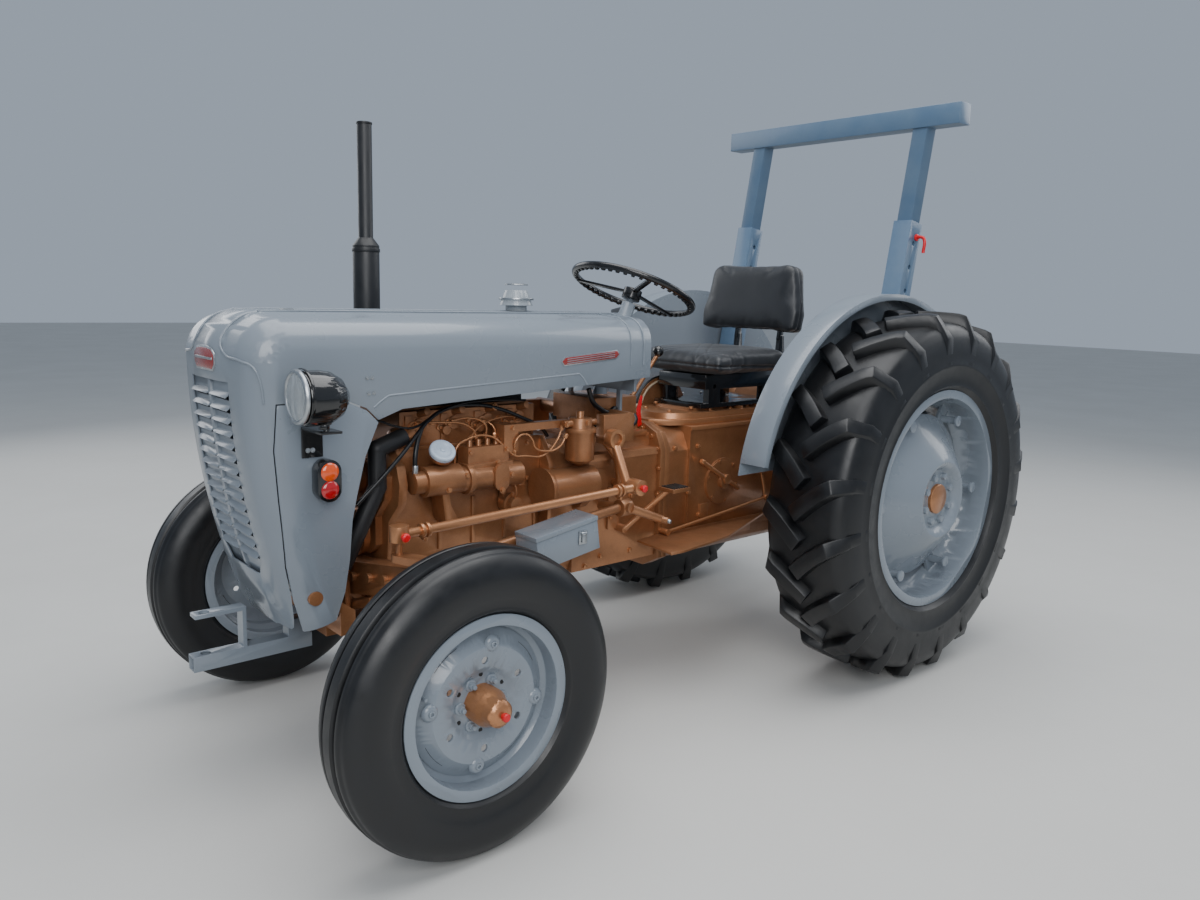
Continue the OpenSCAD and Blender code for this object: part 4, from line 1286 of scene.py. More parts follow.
@dataclass
class FrontWheel:
    """A ribbed steering tyre on a disc wheel with a copper hub.

    Attributes:
        side: left or right.
        axle_x: How far the wheel's middle is ahead of the rear axle.
        radius: The tyre's outer radius.
        track: Distance between the two wheels' middles.
        boss_r: Distance of the pressed bosses from the axle.
        nut_r: Distance of the wheel nuts.
        hole_r: Distance of the small holes.
        slot_r: Outer and inner edge of the curved slots.
        skew: How far bosses and slots are turned from upright, in degrees.
        hub_r: Radius of the copper hub in the disc.
        cap_y: Distance of the grease cap's foot from the wheel's middle.
        bead: Radius and offset of the bead.
        wall: The tyre from bead to crown, as radius against offset.
    """

    side: str
    axle_x: float = 1829.0
    radius: float = 372.0
    track: float = 1258.0
    boss_r: float = 146.0
    nut_r: float = 57.0
    hole_r: float = 69.0
    slot_r: Pair = (163.0, 155.0)
    skew: float = -8.0
    hub_r: float = 47.5
    cap_y: float = 111.5
    bead: tuple[float, float] = (200.3, 56.7)
    wall: tuple[Pair, ...] = (
        (221, 56.7), (226, 60), (230, 66), (233, 69), (238, 69), (240, 68.5), (262, 78), (285, 83.5),
        (305, 84.8),
        (322, 83), (336, 78), (347, 71.5), (354, 66), (358, 62), (361.5, 57), (362, 50), (364.5, 45.5),
        (367, 43),
        (368.5, 39), (368.5, 32), (366.5, 29.5), (358.5, 28), (358.5, 19.5), (368.5, 17.5), (371.5, 15.5),
        (372, 0),
    )

    @property
    def hub(self) -> Point:
        """The wheel's middle."""
        return (self.axle_x, SIDES[self.side] * self.track / 2, self.radius)

    def tyre(self) -> Object:
        """Turns the tyre with its three ribs and the steps on its shoulders."""
        half = [self.bead, *self.wall]
        profile = [(r, -y) for r, y in half] + [(r, y) for r, y in reversed(half[:-1])]
        tyre = turned(f"Front_tyre_{self.side}", profile, self.hub, (0, 1, 0), sides=120)
        dressed(tyre, TYRE_RUBBER, f"front_wheel_{self.side}", 38)
        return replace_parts(tyre, f"front_tyre_{self.side}")

    def across(self, out: float, radius: float = 0.0, ahead: float = 0.0) -> Point:
        """Gives a place on the wheel.

        Args:
            out: How far it is out from the tyre's middle plane.
            radius: How far it is above the axle.
            ahead: How far it is ahead of the axle.

        Returns:
            The place.
        """
        x, middle, axle = self.hub
        return (x + ahead, middle + SIDES[self.side] * out, axle + radius)

    def round_axle(self, piece: Object, name: str, start: float, count: int) -> Object:
        """Repeats a piece evenly round the axle, from a first angle in degrees."""
        step = 360 // count
        return repeated(piece, name, [turn_about(self.hub, (0, 1, 0),
                                                 start + i * step) for i in range(count)])

    def bosses(self) -> Object:
        """Presses the bosses into the disc's edge, and adds the nuts and the valve."""
        side = SIDES[self.side]
        boss = drum("boss", self.across(36, self.boss_r), self.across(46, self.boss_r), 23, 15, 28, 3)
        tip = turned("boss_tip", [(4, 0), (9, 0), (8, 5), (4, 5)], self.across(45, self.boss_r),
                     (0, side, 0), 24, 0.8)
        boss = joined("boss", [smoothed(boss, 50), smoothed(tip, 50)])
        parts = [self.round_axle(boss, "bosses", self.skew, 4)]
        washer = drum("washer", self.across(22, self.nut_r), self.across(27, self.nut_r), 15, 14, 24, 1)
        stud = drum("stud", self.across(36, self.nut_r), self.across(44, self.nut_r), 6.5, 5.5, 16, 1)
        nut = joined("nut", [smoothed(washer, 40), smoothed(stud, 40)])
        parts.append(self.round_axle(nut, "nuts", 90, 6))
        stem = [self.across(6, 0, 168), self.across(30, 0, 172), self.across(48, 0, 170)]
        valve = pipe("valve", stem, 4.2, sides=2)
        parts.append(copied(valve, "valve_stem", turn_about(self.hub, (0, 1, 0), -side * 20)))
        bpy.data.objects.remove(valve)
        whole = joined(f"Front_wheel_bosses_{self.side}", parts)
        return dressed(whole, GREY_PAINT, f"front_wheel_{self.side}", smooth=None)

    def on_disc(self, solids: Solids, angle: float, radius: float) -> Point:
        """Finds a place on the disc's outer face.

        Args:
            solids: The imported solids.
            angle: Its angle about the axle in degrees, from upright.
            radius: Its distance from the axle.

        Returns:
            The place.
        """
        turn = math.radians(angle)
        place = self.across(300, math.cos(turn) * radius, math.sin(turn) * radius)
        return solids.skin(f"front_rim_{self.side}", place, (place[0], self.hub[1], place[2]))

    def slots(self, solids: Solids) -> Object:
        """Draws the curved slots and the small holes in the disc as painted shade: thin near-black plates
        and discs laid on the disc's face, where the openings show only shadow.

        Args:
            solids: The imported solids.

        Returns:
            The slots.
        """
        side = SIDES[self.side]
        x, _, axle = self.hub
        parts = []
        for i in range(4):
            middle = 45 + i * 90 + self.skew
            turns = range(-13, 14, 2)
            rows = [(self.slot_r[0], middle + a) for a in turns] + [(self.slot_r[1],
                                                                     middle + a) for a in reversed(turns)]
            outline = [(x + math.sin(math.radians(a)) * r, axle + math.cos(math.radians(a)) * r) for r,
                       a in rows]
            radius, angle = rows[len(rows) // 4]
            y = self.on_disc(solids, angle, radius)[1]
            parts.append(plate("slot", Plane.SIDE, outline, y - side * 3, y + side * 0.8, 0.3))
        for i in range(6):
            u, y, v = self.on_disc(solids, 60 * i, self.hole_r)
            parts.append(drum("hole", (u, y - side * 3, v), (u, y + side * 0.6, v), 5.5, sides=20,
                              bevel=0.2))
        slots = joined(f"Front_wheel_slot_shade_{self.side}", parts)
        # Painted shade: the slots and holes are dark plates on the disc, standing in for the shadow in real
        # openings.
        return dressed(slots, OPENING_SHADE, f"front_wheel_{self.side}", 30)

    def grease_cap(self) -> Object:
        """Fits the red cap on the hub's grease nipple."""
        profile = [(0, 0), (5, 0), (5, 6), (9.5, 7), (10, 16), (8, 19), (0, 19.5)]
        way = (0, SIDES[self.side], 0)
        cap = turned(f"Hub_grease_cap_{self.side}", profile, self.across(self.cap_y), way, 20)
        return dressed(cap, RED_PLASTIC, f"front_wheel_{self.side}", 30)

    def build(self, solids: Solids) -> int:
        """Builds and dresses the wheel.

        Args:
            solids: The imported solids.

        Returns:
            The number of pieces.
        """
        self.tyre()
        rim = solids.finish(f"front_rim_{self.side}", GREY_PAINT, 1.0)
        region(rim, COPPER_SMOOTH,
               lambda p: math.hypot(p.x - self.axle_x, p.z - self.radius) < self.hub_r)
        self.bosses()
        self.slots(solids)
        self.grease_cap()
        return 5


# Bonnet, grille and lamps


@dataclass
class Bonnet:
    """The hood's badges, pressed beads, seams and screws.

    Attributes:
        nose_x: How far ahead the flat of the nose is.
        half: Half the hood's width.
        strip: Half the width of the raised strip down the middle.
        shield: Half width, half height and middle height of the bare shield on the nose.
        shield_edge: The shield's outline, as shares of its half width and half height.
        badge: Rear end, front end and foot of the bare side badge, and how far it climbs to the rear.
        badge_h: Height of the side badge.
        lower_edge: The pressed edge along the hood's foot, from the cheek over the arch to the rear.
        nose_bead: The bead from the strip's end round the nose to the cheek, before it is laid on the skin.
        heart: A place inside the nose, which the bead is laid towards.
        screws: Places of the small screws behind each lamp.
    """

    nose_x: float = 2205.0
    half: float = 245.0
    strip: float = 88.0
    shield: tuple[float, float, float] = (72.0, 30.0, 1139.0)
    shield_edge: tuple[Pair, ...] = (
        (-1, -0.5), (-0.8, -1), (0.8, -1), (1, -0.5), (1, 0.45), (0.72, 0.86), (0.3, 1), (-0.3, 1),
        (-0.72, 0.86),
        (-1, 0.45),
    )
    badge: tuple[float, float, float, float] = (1054.0, 1284.0, 1107.0, 16.0)
    badge_h: float = 28.0
    lower_edge: tuple[Pair, ...] = (
        (1880, 1022), (1862, 1036), (1839, 1050), (1700, 1058), (1214, 1083), (1196, 1068), (1182, 1049),
    )
    nose_bead: tuple[Point, ...] = (
        (2106, 88, 1262), (2150, 88, 1240), (2184, 88, 1212), (2199, 90, 1180), (2200, 112, 1158),
        (2186, 190, 1142), (2172, 222, 1130), (2160, 231, 1098), (2154, 234, 1046),
    )
    heart: Point = (1960.0, 0.0, 1090.0)
    screws: tuple[Pair, ...] = ((1898, 1097), (1885, 1097), (1894, 1058), (1880, 1059))

    def lozenge(self, inset: float) -> list[Pair]:
        """Outlines the side badge, drawn in by an inset."""
        rear, front, foot, climb = self.badge
        low, upper, ends = foot + inset, foot + self.badge_h - inset, inset * 1.2
        middle = foot + self.badge_h / 2
        return [(front - ends, middle), (front - 16, upper), (rear + 12, upper + climb),
                (rear + ends, middle + climb),
                (rear + 16, low + climb), (front - 12, low)]

    def badges(self) -> list[Object]:
        """Makes the bare shield on the nose and the two bare lozenges on the sides, with their rims."""
        wide, high, middle = self.shield
        x = self.nose_x
        rim = plate("rim", Plane.CROSS, [(y * wide, middle + z * high) for y, z in self.shield_edge], x - 1,
                    x + 3, 1)
        inner = [(y * (wide - 5), middle + z * (high - 5)) for y, z in self.shield_edge]
        enamel = plate("Shield_field", Plane.CROSS, inner, x + 1, x + 4, 0.8)
        bar = block("bar", (x + 2, -wide + 12, middle - 3), (x + 5.5, wide - 12, middle + 3), 1)
        pieces = [dressed(enamel, RED_ENAMEL, "bonnet")]
        metal = [rim, bar]
        rear, front, foot, climb = self.badge
        for name, side in SIDES.items():
            levels = [side * (self.half + out) for out in (-0.5, 2, 1, 2.6, 3.6)]
            metal.append(plate("badge_rim", Plane.SIDE, self.lozenge(0), levels[0], levels[1], 0.8))
            red = plate(f"Side_badge_field_{name}", Plane.SIDE, self.lozenge(3.5), levels[2], levels[3],
                        0.5)
            pieces.append(dressed(red, RED_ENAMEL, "bonnet"))
            for i in range(3):
                z = foot + 8 + i * 6
                line = [(front - 22, z - 1.2), (front - 22, z + 1.2), (rear + 22, z + climb + 1.2),
                        (rear + 22, z + climb - 1.2)]
                metal.append(plate("badge_bar", Plane.SIDE, line, levels[1], levels[4], 0.4))
        pieces.append(dressed(joined("Badge_rims", metal), ZINC, "bonnet"))
        return pieces

    def beads(self, solids: Solids) -> list[Object]:
        """Lays the pressed beads and the rear band on the hood's skin.

        Args:
            solids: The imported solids.

        Returns:
            The pieces.
        """
        lines = []
        for side in SIDES.values():
            lines.append(pipe("foot_bead", [(x, side * (self.half - 1.2), z) for x, z in self.lower_edge],
                              3.2, crisp=True))
            nose = [(x, side * y, z) for x, y, z in self.nose_bead]
            far = [tuple(h + (c - h) * 1.5 for c, h in zip(p, self.heart)) for p in nose]
            lines.append(pipe("nose_bead", [solids.skin("bonnet", p, self.heart, 0.4) for p in far], 3.0))
            strip = [solids.skin("bonnet", (x, side * self.strip, 1400), (x, side * self.strip, 1000), 0.2)
                     for x in range(930, 2110, 84)]
            lines.append(pipe("strip_bead", strip, 2.6))
        for x, radius in ((952, 3.4), (1006, 2.2)):
            ring = [(x, 500 * math.cos(math.radians(a)),
                     1100 + 500 * math.sin(math.radians(a))) for a in range(0, 181, 9)]
            lines.append(pipe("rear_band", [solids.skin("bonnet", p, (x, 0, 1100), 0.4) for p in ring],
                              radius))
        return [dressed(joined("Bonnet_beads", lines), GREY_PAINT, "bonnet", 60)]

    def fasteners(self, solids: Solids) -> list[Object]:
        """Sets the screws behind each lamp and the prop's catch on the top strip."""
        places = [(x, side * self.half, z) for side in SIDES.values() for x, z in self.screws]
        left = bolts("left", [p for p in places if p[1] > 0], (0, 1, 0), 4)
        right = bolts("right", [p for p in places if p[1] < 0], (0, -1, 0), 4)
        top = solids.skin("bonnet", (2021, 60, 1400), (2021, 60, 1000), 0)
        catch = block("catch", (top[0] - 18, top[1] - 5, top[2] - 2), (top[0] + 18, top[1] + 5, top[2] + 6),
                      2)
        return [dressed(joined("Bonnet_screws", [left, right, catch]), ZINC, "bonnet")]

    def build(self, solids: Solids) -> int:
        """Builds the hood's trim.

        Args:
            solids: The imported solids.

        Returns:
            The number of pieces.
        """
        return len(self.badges() + self.beads(solids) + self.fasteners(solids))


@dataclass
class Lamp:
    """A bullet headlamp with its lens, and the indicator under it.

    Attributes:
        side: left or right.
        front: The lens rim's middle.
        lens_r: Radius of the lens.
        indicator: Middle of the indicator's face.
        stud_back: How far the lamp's stud is behind the lens.
    """

    side: str
    front: Point = (2118.0, 339.0, 1070.0)
    lens_r: float = 54.0
    indicator: Point = (2018.0, 283.0, 856.0)
    stud_back: float = 62.0

    def lens(self) -> list[Object]:
        """Makes the bright rim, the reflector and the domed lens."""
        x, y, z = self.front
        base = (x, SIDES[self.side] * y, z)
        rim = turned(f"Headlamp_rim_{self.side}",
                     [(53, -4), (63.5, -4), (64.5, 0), (62, 5), (56, 6.5), (53, 4)],
                     base, (1, 0, 0), 48, 0.6)
        bowl = turned(f"Headlamp_reflector_{self.side}",
                      [(0, 0.6), (30, 0.4), (self.lens_r, 0.8), (self.lens_r, 1.8),
                                                          (30, 1.4), (0, 1.6)], base, (1, 0, 0), 48)
        glass = turned(f"Headlamp_lens_{self.side}",
                       [(0, 9), (20, 8.3), (40, 6), (self.lens_r, 3.4), (self.lens_r, 2),
                                                      (40, 4.4), (20, 6.6), (0, 7.2)], base, (1, 0, 0), 48)
        return [dressed(rim, ZINC, "bonnet"),
                dressed(bowl, REFLECTOR, "bonnet", 60),
                dressed(glass, LENS, "bonnet", 60)]

    def fittings(self) -> list[Object]:
        """Makes the seam round the shell, its stud's nut and the indicator's lenses."""
        side = SIDES[self.side]
        x, y, z = self.front
        seam = turned("seam", [(63, -3), (65.6, -3), (65.6, 3), (63, 3)], (x - 14, side * y, z), (1, 0, 0),
                      48, 0.8)
        stud = x - self.stud_back
        nut = drum("nut", (stud, side * y, z - 78), (stud, side * y, z - 66), 13, sides=6, bevel=1)
        seat = drum("washer", (stud, side * y, z - 66), (stud, side * y, z - 60), 18, sides=24)
        shell = dressed(joined(f"Headlamp_seam_{self.side}", [seam, nut, seat]), BLACK_PAINT, "bonnet")
        ix, iy, iz = self.indicator
        pieces = [shell]
        for name, dz, finish in (("upper", 22, AMBER_LENS), ("lower", -22, RED_LENS)):
            lens = turned(f"Indicator_{name}_{self.side}",
                          [(0, 7), (12, 6), (20, 3.5), (23, 0), (23, -2), (0, -2)],
                          (ix, side * iy, iz + dz), (0, side, 0), 32, 0.5)
            pieces.append(dressed(lens, finish, "bonnet", 40))
        screw = bolts(f"Lamp_bracket_screws_{self.side}",
                      [(2058, side * 251, 930), (2046, side * 251, 930)],
                      (0, side, 0), 4.5)
        pieces.append(dressed(screw, ZINC, "bonnet"))
        return pieces

    def build(self) -> int:
        """Builds the lamp's trim and returns the number of pieces."""
        return len(self.lens() + self.fittings())


# Engine


@dataclass
class EngineBay:
    """Pipes, cables, caps and fasteners on the open engine.

    Attributes:
        leads: Black cables, each as a route and a radius.
        tubes: Copper pipes, each as a route and a radius.
        oil_pipe: Route of the thick pipe under the fuel filter.
        cap: Middle of the oil filler's cap.
        injectors: Places of the four injectors along the engine.
        side_bolts: Bolts on the engine's near side, by solid, as x and z.
    """

    leads: tuple[tuple[tuple[Point, ...], float], ...] = (
        (((1912, 205, 768), (1800, 210, 872), (1705, 172, 944), (1682, 165, 962), (1622, 150, 989),
          (1511, 145, 997),
          (1420, 150, 977), (1349, 160, 947), (1303, 170, 925), (1262, 158, 890)), 5.5),
        (((1736, 193, 830), (1736, 195, 876), (1722, 184, 916), (1700, 168, 948)), 6.5),
        (((1960, 238, 1046), (1920, 238, 1010), (1873, 236, 987), (1850, 215, 982), (1780, 180, 958),
          (1720, 165, 950),
          (1662, 158, 974), (1586, 150, 999), (1452, 140, 1006), (1330, 138, 1000)), 3.2),
        (((1095, 150, 1024), (1077, 150, 983), (1045, 150, 958), (1008, 150, 944), (983, 146, 954),
          (960, 130, 950)), 8.0),
        (((870, 90, 911), (900, 104, 890), (975, 150, 884), (1054, 180, 890), (1101, 190, 914),
          (1118, 196, 930)), 3.2),
    )
    tubes: tuple[tuple[tuple[Point, ...], float], ...] = (
        (((1604, 182, 822), (1604, 190, 887), (1576, 190, 906), (1496, 190, 912), (1451, 195, 883),
          (1412, 200, 849),
          (1377, 204, 845), (1313, 208, 842), (1262, 205, 880), (1240, 205, 925)), 3.2),
        (((1412, 196, 852), (1412, 205, 894), (1382, 205, 910), (1354, 205, 892), (1341, 205, 865),
          (1313, 210, 855),
          (1262, 216, 862), (1232, 216, 900)), 3.2),
        (((1456, 160, 900), (1456, 158, 926), (1470, 146, 944), (1490, 138, 948)), 3.0),
        (((1488, 160, 900), (1490, 162, 940), (1540, 150, 962), (1590, 140, 954)), 3.0),
        (((1518, 160, 900), (1530, 156, 930), (1640, 150, 956), (1702, 140, 954)), 3.0),
        (((1546, 160, 900), (1500, 152, 936), (1420, 148, 956), (1366, 140, 952)), 3.0),
        (((1415, 182, 777), (1404, 196, 752), (1402, 190, 722), (1414, 180, 704)), 3.4),
    )
    oil_pipe: tuple[Point, ...] = (
        (1072, 176, 884), (1066, 196, 868), (1034, 198, 835), (1007, 194, 804), (990, 190, 762),
        (982, 184, 726),
        (980, 160, 712),
    )
    cap: Point = (1657.0, 204.0, 886.0)
    injectors: tuple[float, ...] = (1366, 1478, 1590, 1702)
    side_bolts: tuple[tuple[str, tuple[Pair, ...]], ...] = (
        ("engine", ((1320, 568), (1400, 568), (1480, 568), (1560, 568), (1640, 568), (1720, 568),
                    (1318, 870),
                    (1318, 760), (1318, 660), (1640, 950), (1520, 950), (1410, 950), (1740, 640))),
        ("injection_set", ((1440, 870), (1562, 870), (1440, 800), (1478, 836), (1478, 760), (1650, 780),
                           (1590, 812),
                           (1400, 726), (1180, 934), (1240, 930), (1420, 930))),
    )

    def routed(self) -> list[Object]:
        """Runs the cables and the copper pipes, with a union nut on each pipe's ends."""
        black = [pipe("lead", route, radius) for route, radius in self.leads]
        copper, nuts = [], []
        for route, radius in self.tubes:
            copper.append(pipe("tube", route, radius))
            for end, inner in ((route[0], route[1]), (route[-1], route[-2])):
                way = (Vector(inner) - Vector(end)).normalized() * 15
                nuts.append(drum("union", end, tuple(Vector(end) + way), 7.5, sides=6, bevel=0.6))
        oil = pipe("oil", self.oil_pipe, 15)
        sleeve = drum("sleeve", (1736, 195, 826), (1736, 195, 852), 8.5, sides=16)
        end = drum("end", (1415, 186, 786), (1411, 192, 770), 9, sides=16)
        return [
            dressed(joined("Engine_cables", black), CABLE_PVC, "chassis", 60),
            dressed(joined("Engine_copper_pipes", [*copper, oil]), COPPER_SMOOTH, "chassis",
                    60),
            dressed(joined("Engine_pipe_unions", nuts), COPPER_SMOOTH, "chassis", 30),
            dressed(joined("Engine_cable_ends", [sleeve, end]), ZINC, "chassis", 30),
        ]

    def oil_cap(self) -> Object:
        """Makes the pale cap of the oil filler, with its raised middle."""
        cap = turned("Oil_filler_cap", [(0, 5), (6, 5), (7, 2), (22, 2.5), (25, 5), (34, 5.5), (36.5, 2),
                                        (36.5, -8),
                                        (34, -10), (0, -10)], self.cap, (0.1, 0.66, 0.72), 40, 0.8)
        return dressed(cap, PALE_PLASTIC, "chassis", 40)

    def fasteners(self, solids: Solids) -> list[Object]:
        """Sets bolts on the engine's skin.

        Args:
            solids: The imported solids.

        Returns:
            The pieces.
        """
        pieces = []
        for node, pairs in self.side_bolts:
            near = solids.skins(node, [((x, 420, z), (x, 0, z)) for x, z in pairs])
            sets = [bolts("near", near, (0, 1, 0), 7)]
            if node == "engine":
                far = solids.skins(node, [((x, -420, z), (x, 0, z)) for x, z in pairs])
                sets.append(bolts("far", far, (0, -1, 0), 7))
            pieces.append(dressed(joined(f"Bolts_{node}", sets), COPPER_SMOOTH, "chassis",
                                  25))
        return pieces

    def head_details(self) -> list[Object]:
        """Makes the two unions at each injector, and the studs on both sides of the rocker cover."""
        parts = []
        for x in self.injectors:
            for dx, radius, out in ((0, 13, 126), (26, 10, 122)):
                profile = [(0, 8), (radius * 0.5, 8), (radius * 0.6, 3), (radius, 3), (radius, -6), (0, -6)]
                parts.append(turned("boss", profile, (x + dx, out, 948 - dx * 0.4), (0, 1, 0), 24, 0.8))
        for x in range(1380, 1720, 56):
            for y in (60, -52):
                parts.append(drum("stud", (x, y, 990), (x, y, 1006), 8, sides=6, bevel=0.8))
        return [dressed(joined("Injector_unions", parts), COPPER_SMOOTH, "chassis", 30)]

    def build(self, solids: Solids) -> int:
        """Builds the engine's details.

        Args:
            solids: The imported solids.

        Returns:
            The number of pieces.
        """
        return len([*self.routed(), self.oil_cap(), *self.fasteners(solids), *self.head_details()])


# Transmission and controls


@dataclass
class Transmission:
    """Bolts, rods, covers and small parts on gearbox, rear housing and lift cover.

    Attributes:
        joint_x: Where gearbox and rear housing meet.
        joint_ring: The joint's bolts on the near side, as y and z.
        side_cover: Middle and radius of the round brake cover, as x, z and radius.
        half_disc: Middle and radius of the half disc of the lift's lever guide.
        switch: Middle of the ring switch, and the way it faces.
        tag: Where the red hang tag hangs.
        near_bolts: Bolts on the near side, by solid, as x and z.
        top_bolts: Bolts seen from above, by solid, as x and y.
    """

    joint_x: float = 765.0
    joint_ring: tuple[Pair, ...] = (
        (163, 470), (166, 560), (166, 650), (166, 740), (158, 806), (128, 846), (80, 868), (20, 872),
    )
    side_cover: tuple[float, float, float] = (469.0, 663.0, 84.0)
    half_disc: tuple[float, float, float, float] = (475.0, -153.0, 885.0, 128.0)
    switch: tuple[Point, Point] = ((866.0, 96.0, 905.0), (0.5, 0.8, 0.3))
    tag: Point = (806.0, 78.0, 925.0)
    near_bolts: tuple[tuple[str, tuple[Pair, ...]], ...] = (
        ("gearbox", ((1112, 520), (1112, 600), (1112, 700), (1112, 780), (1098, 448), (1030, 470),
                     (900, 470),
                     (940, 640), (1000, 600), (910, 660), (1000, 690))),
        ("rear_housing", ((600, 800), (700, 800), (582, 551), (720, 470), (420, 470), (640, 640))),
        ("rear_axle", ((200, 720), (60, 700), (140, 690))),
    )
    top_bolts: tuple[tuple[str, tuple[Pair, ...]], ...] = (
        ("gearbox", ((840, 80), (1020, 80), (840, -80), (1020, -80), (930, 80), (930, -80), (1050, 100),
                     (1050, -100))),
        ("lift_cover", ((560, 90), (560, -90), (360, 100), (360, -100), (260, 96), (260, -96), (470, 100),
                        (470, -100),
                        (640, 60), (640, -60))),
    )

    def fasteners(self, solids: Solids) -> list[Object]:
        """Sets the bolts of the joint rings and covers on both sides.

        Args:
            solids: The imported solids.

        Returns:
            The pieces.
        """
        pieces = []
        for node, pairs in self.near_bolts:
            sets = []
            for side in SIDES.values():
                seats = solids.skins(node, [((x, side * 600, z), (x, 0, z)) for x, z in pairs])
                if seats:
                    sets.append(bolts("near", seats, (0, side, 0), 8))
            if sets:
                pieces.append(dressed(joined(f"Side_bolts_{node}", sets), COPPER_SMOOTH, "chassis",
                                      25))
        for node, pairs in self.top_bolts:
            seats = solids.skins(node, [((x, y, 1300), (x, y, 500)) for x, y in pairs])
            if seats:
                top = bolts(f"Top_bolts_{node}", seats, (0, 0, 1), 8)
                pieces.append(dressed(top, COPPER_SMOOTH, "chassis", 25))
        ring = [(self.joint_x + 22, side * y, z) for side in SIDES.values() for y, z in self.joint_ring]
        pieces.append(dressed(bolts("Joint_ring_bolts", ring, (1, 0, 0), 8), COPPER_SMOOTH, "chassis",
                              25))
        return pieces

    def brake_covers(self) -> list[Object]:
        """Makes the stepped round cover on each side with its bolts and lever knob."""
        x, z, radius = self.side_cover
        pieces = []
        for name, side in SIDES.items():
            base = (x, side * 170, z)
            cover = turned("cover", [(0, 14), (22, 14), (24, 9), (radius - 22, 7), (radius - 14, 4),
                                     (radius, 4),
                                     (radius, -6), (0, -6)], base, (0, side, 0), 56, 0.8)
            turns = [math.radians(a) for a in range(15, 375, 60)]
            out = radius - 8
            studs = [(x + math.cos(turn) * out, side * 174, z + math.sin(turn) * out) for turn in turns]
            heads = bolts("studs", studs, (0, side, 0), 7)
            pieces.append(dressed(joined(f"Brake_cover_{name}", [cover, heads]), COPPER_PAINT, "chassis",
                                  35))
        lever = pipe("lever", [(396, 188, 629), (440, 192, 655), (520, 192, 702), (589, 188, 745)], 8)
        knob = drum("knob", (583, 187, 741), (600, 187, 751), 11, 9, sides=20, bevel=3)
        eye = drum("eye", (469, 178, 672), (469, 202, 672), 18, sides=28, bevel=2)
        pieces.append(dressed(joined("Brake_lever", [lever, knob, eye]), COPPER_SMOOTH, "chassis",
                              40))
        return pieces

    def rods(self) -> list[Object]:
        """Makes the brake rods and the small levers along the housing."""
        parts = []
        for side in SIDES.values():
            rod = [(773, side * 200, 523), (450, side * 200, 556), (270, side * 216, 584)]
            lever = [(270, side * 214, 578), (280, side * 214, 630), (291, side * 206, 688)]
            parts.append(pipe("rod", rod, 6, crisp=True))
            parts.append(pipe("lever", lever, 7, crisp=True))
            parts.append(drum("eye", (270, side * 206, 584), (270, side * 226, 584), 11, sides=20))
            parts.append(drum("eye", (773, side * 172, 523), (773, side * 210, 523), 11, sides=20))
            parts.append(drum("eye", (291, side * 168, 688), (291, side * 216, 688), 12, sides=20))
        return [dressed(joined("Brake_rods", parts), COPPER_SMOOTH, "chassis", 40)]

    def on_half_disc(self, inset: float, out: float, angles: Iterable[int]) -> list[Point]:
        """Gives places along the half disc's rim.

        Args:
            inset: How far they lie inside the rim.
            out: How far they lie to the left of the disc's middle plane.
            angles: Their angles in degrees, from straight ahead upwards.

        Returns:
            The places.
        """
        x, y, z, radius = self.half_disc
        r = radius - inset
        turns = [math.radians(a) for a in angles]
        return [(x + math.cos(turn) * r, y + out, z + math.sin(turn) * r) for turn in turns]

    def controls(self) -> list[Object]:
        """Makes the tag, the ring switch, the pedals' treads, and the cable and edging on the half disc."""
        place, way = self.switch
        ring = turned("Switch_ring", [(14, 0), (27, 0), (28, 10), (22, 14), (14, 12)], place, way, 32, 1)
        core = turned("Switch_core", [(0, 14), (6, 13), (10, 9), (14, 8), (14, 0), (0, 0)], place, way, 24,
                      0.6)
        tag = plate("Hang_tag", Plane.SIDE, [(-16, 52), (-6, 56), (12, 8), (2, -52), (-16, -46), (-8, 4)],
                    -1, 1, 0.6)
        tag.data.transform(move(*self.tag))
        run = [(700, -60, 905), (640, -110, 918), *self.on_half_disc(14, 9, range(18, 116, 7))]
        cable = pipe("Half_disc_cable", run, 4.5)
        edging = pipe("Half_disc_edging", self.on_half_disc(0, 0, range(0, 181, 9)), 5.0)
        pieces = [
            dressed(ring, CABLE_PVC, "chassis", 40),
            dressed(core, ZINC, "chassis", 40),
            dressed(tag, RED_PLASTIC, "chassis", 30),
            dressed(cable, PALE_WIRE, "chassis", 60),
            dressed(edging, HOSE_RUBBER, "chassis", 60),
        ]
        treads, tips = [], []
        for side in SIDES.values():
            y = side * 265
            treads += [block("tread", (x, y - 30, 695), (x + 5, y + 30, 700), 1) for x in range(776, 848,
                                                                                                12)]
        pieces.append(dressed(joined("Pedal_treads", treads), HOSE_RUBBER, "chassis", 30))
        for side in SIDES.values():
            tips.append(drum("tip", (898, side * 329, 606), (896, side * 338, 604), 8, 6, sides=20,
                             bevel=1))
        pieces.append(dressed(joined("Peg_tips", tips), ZINC, "chassis", 40))
        return pieces

    def build(self, solids: Solids) -> int:
        """Builds the transmission's details.

        Args:
            solids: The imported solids.

        Returns:
            The number of pieces.
        """
        return len(self.fasteners(solids) + self.brake_covers() + self.rods() + self.controls())


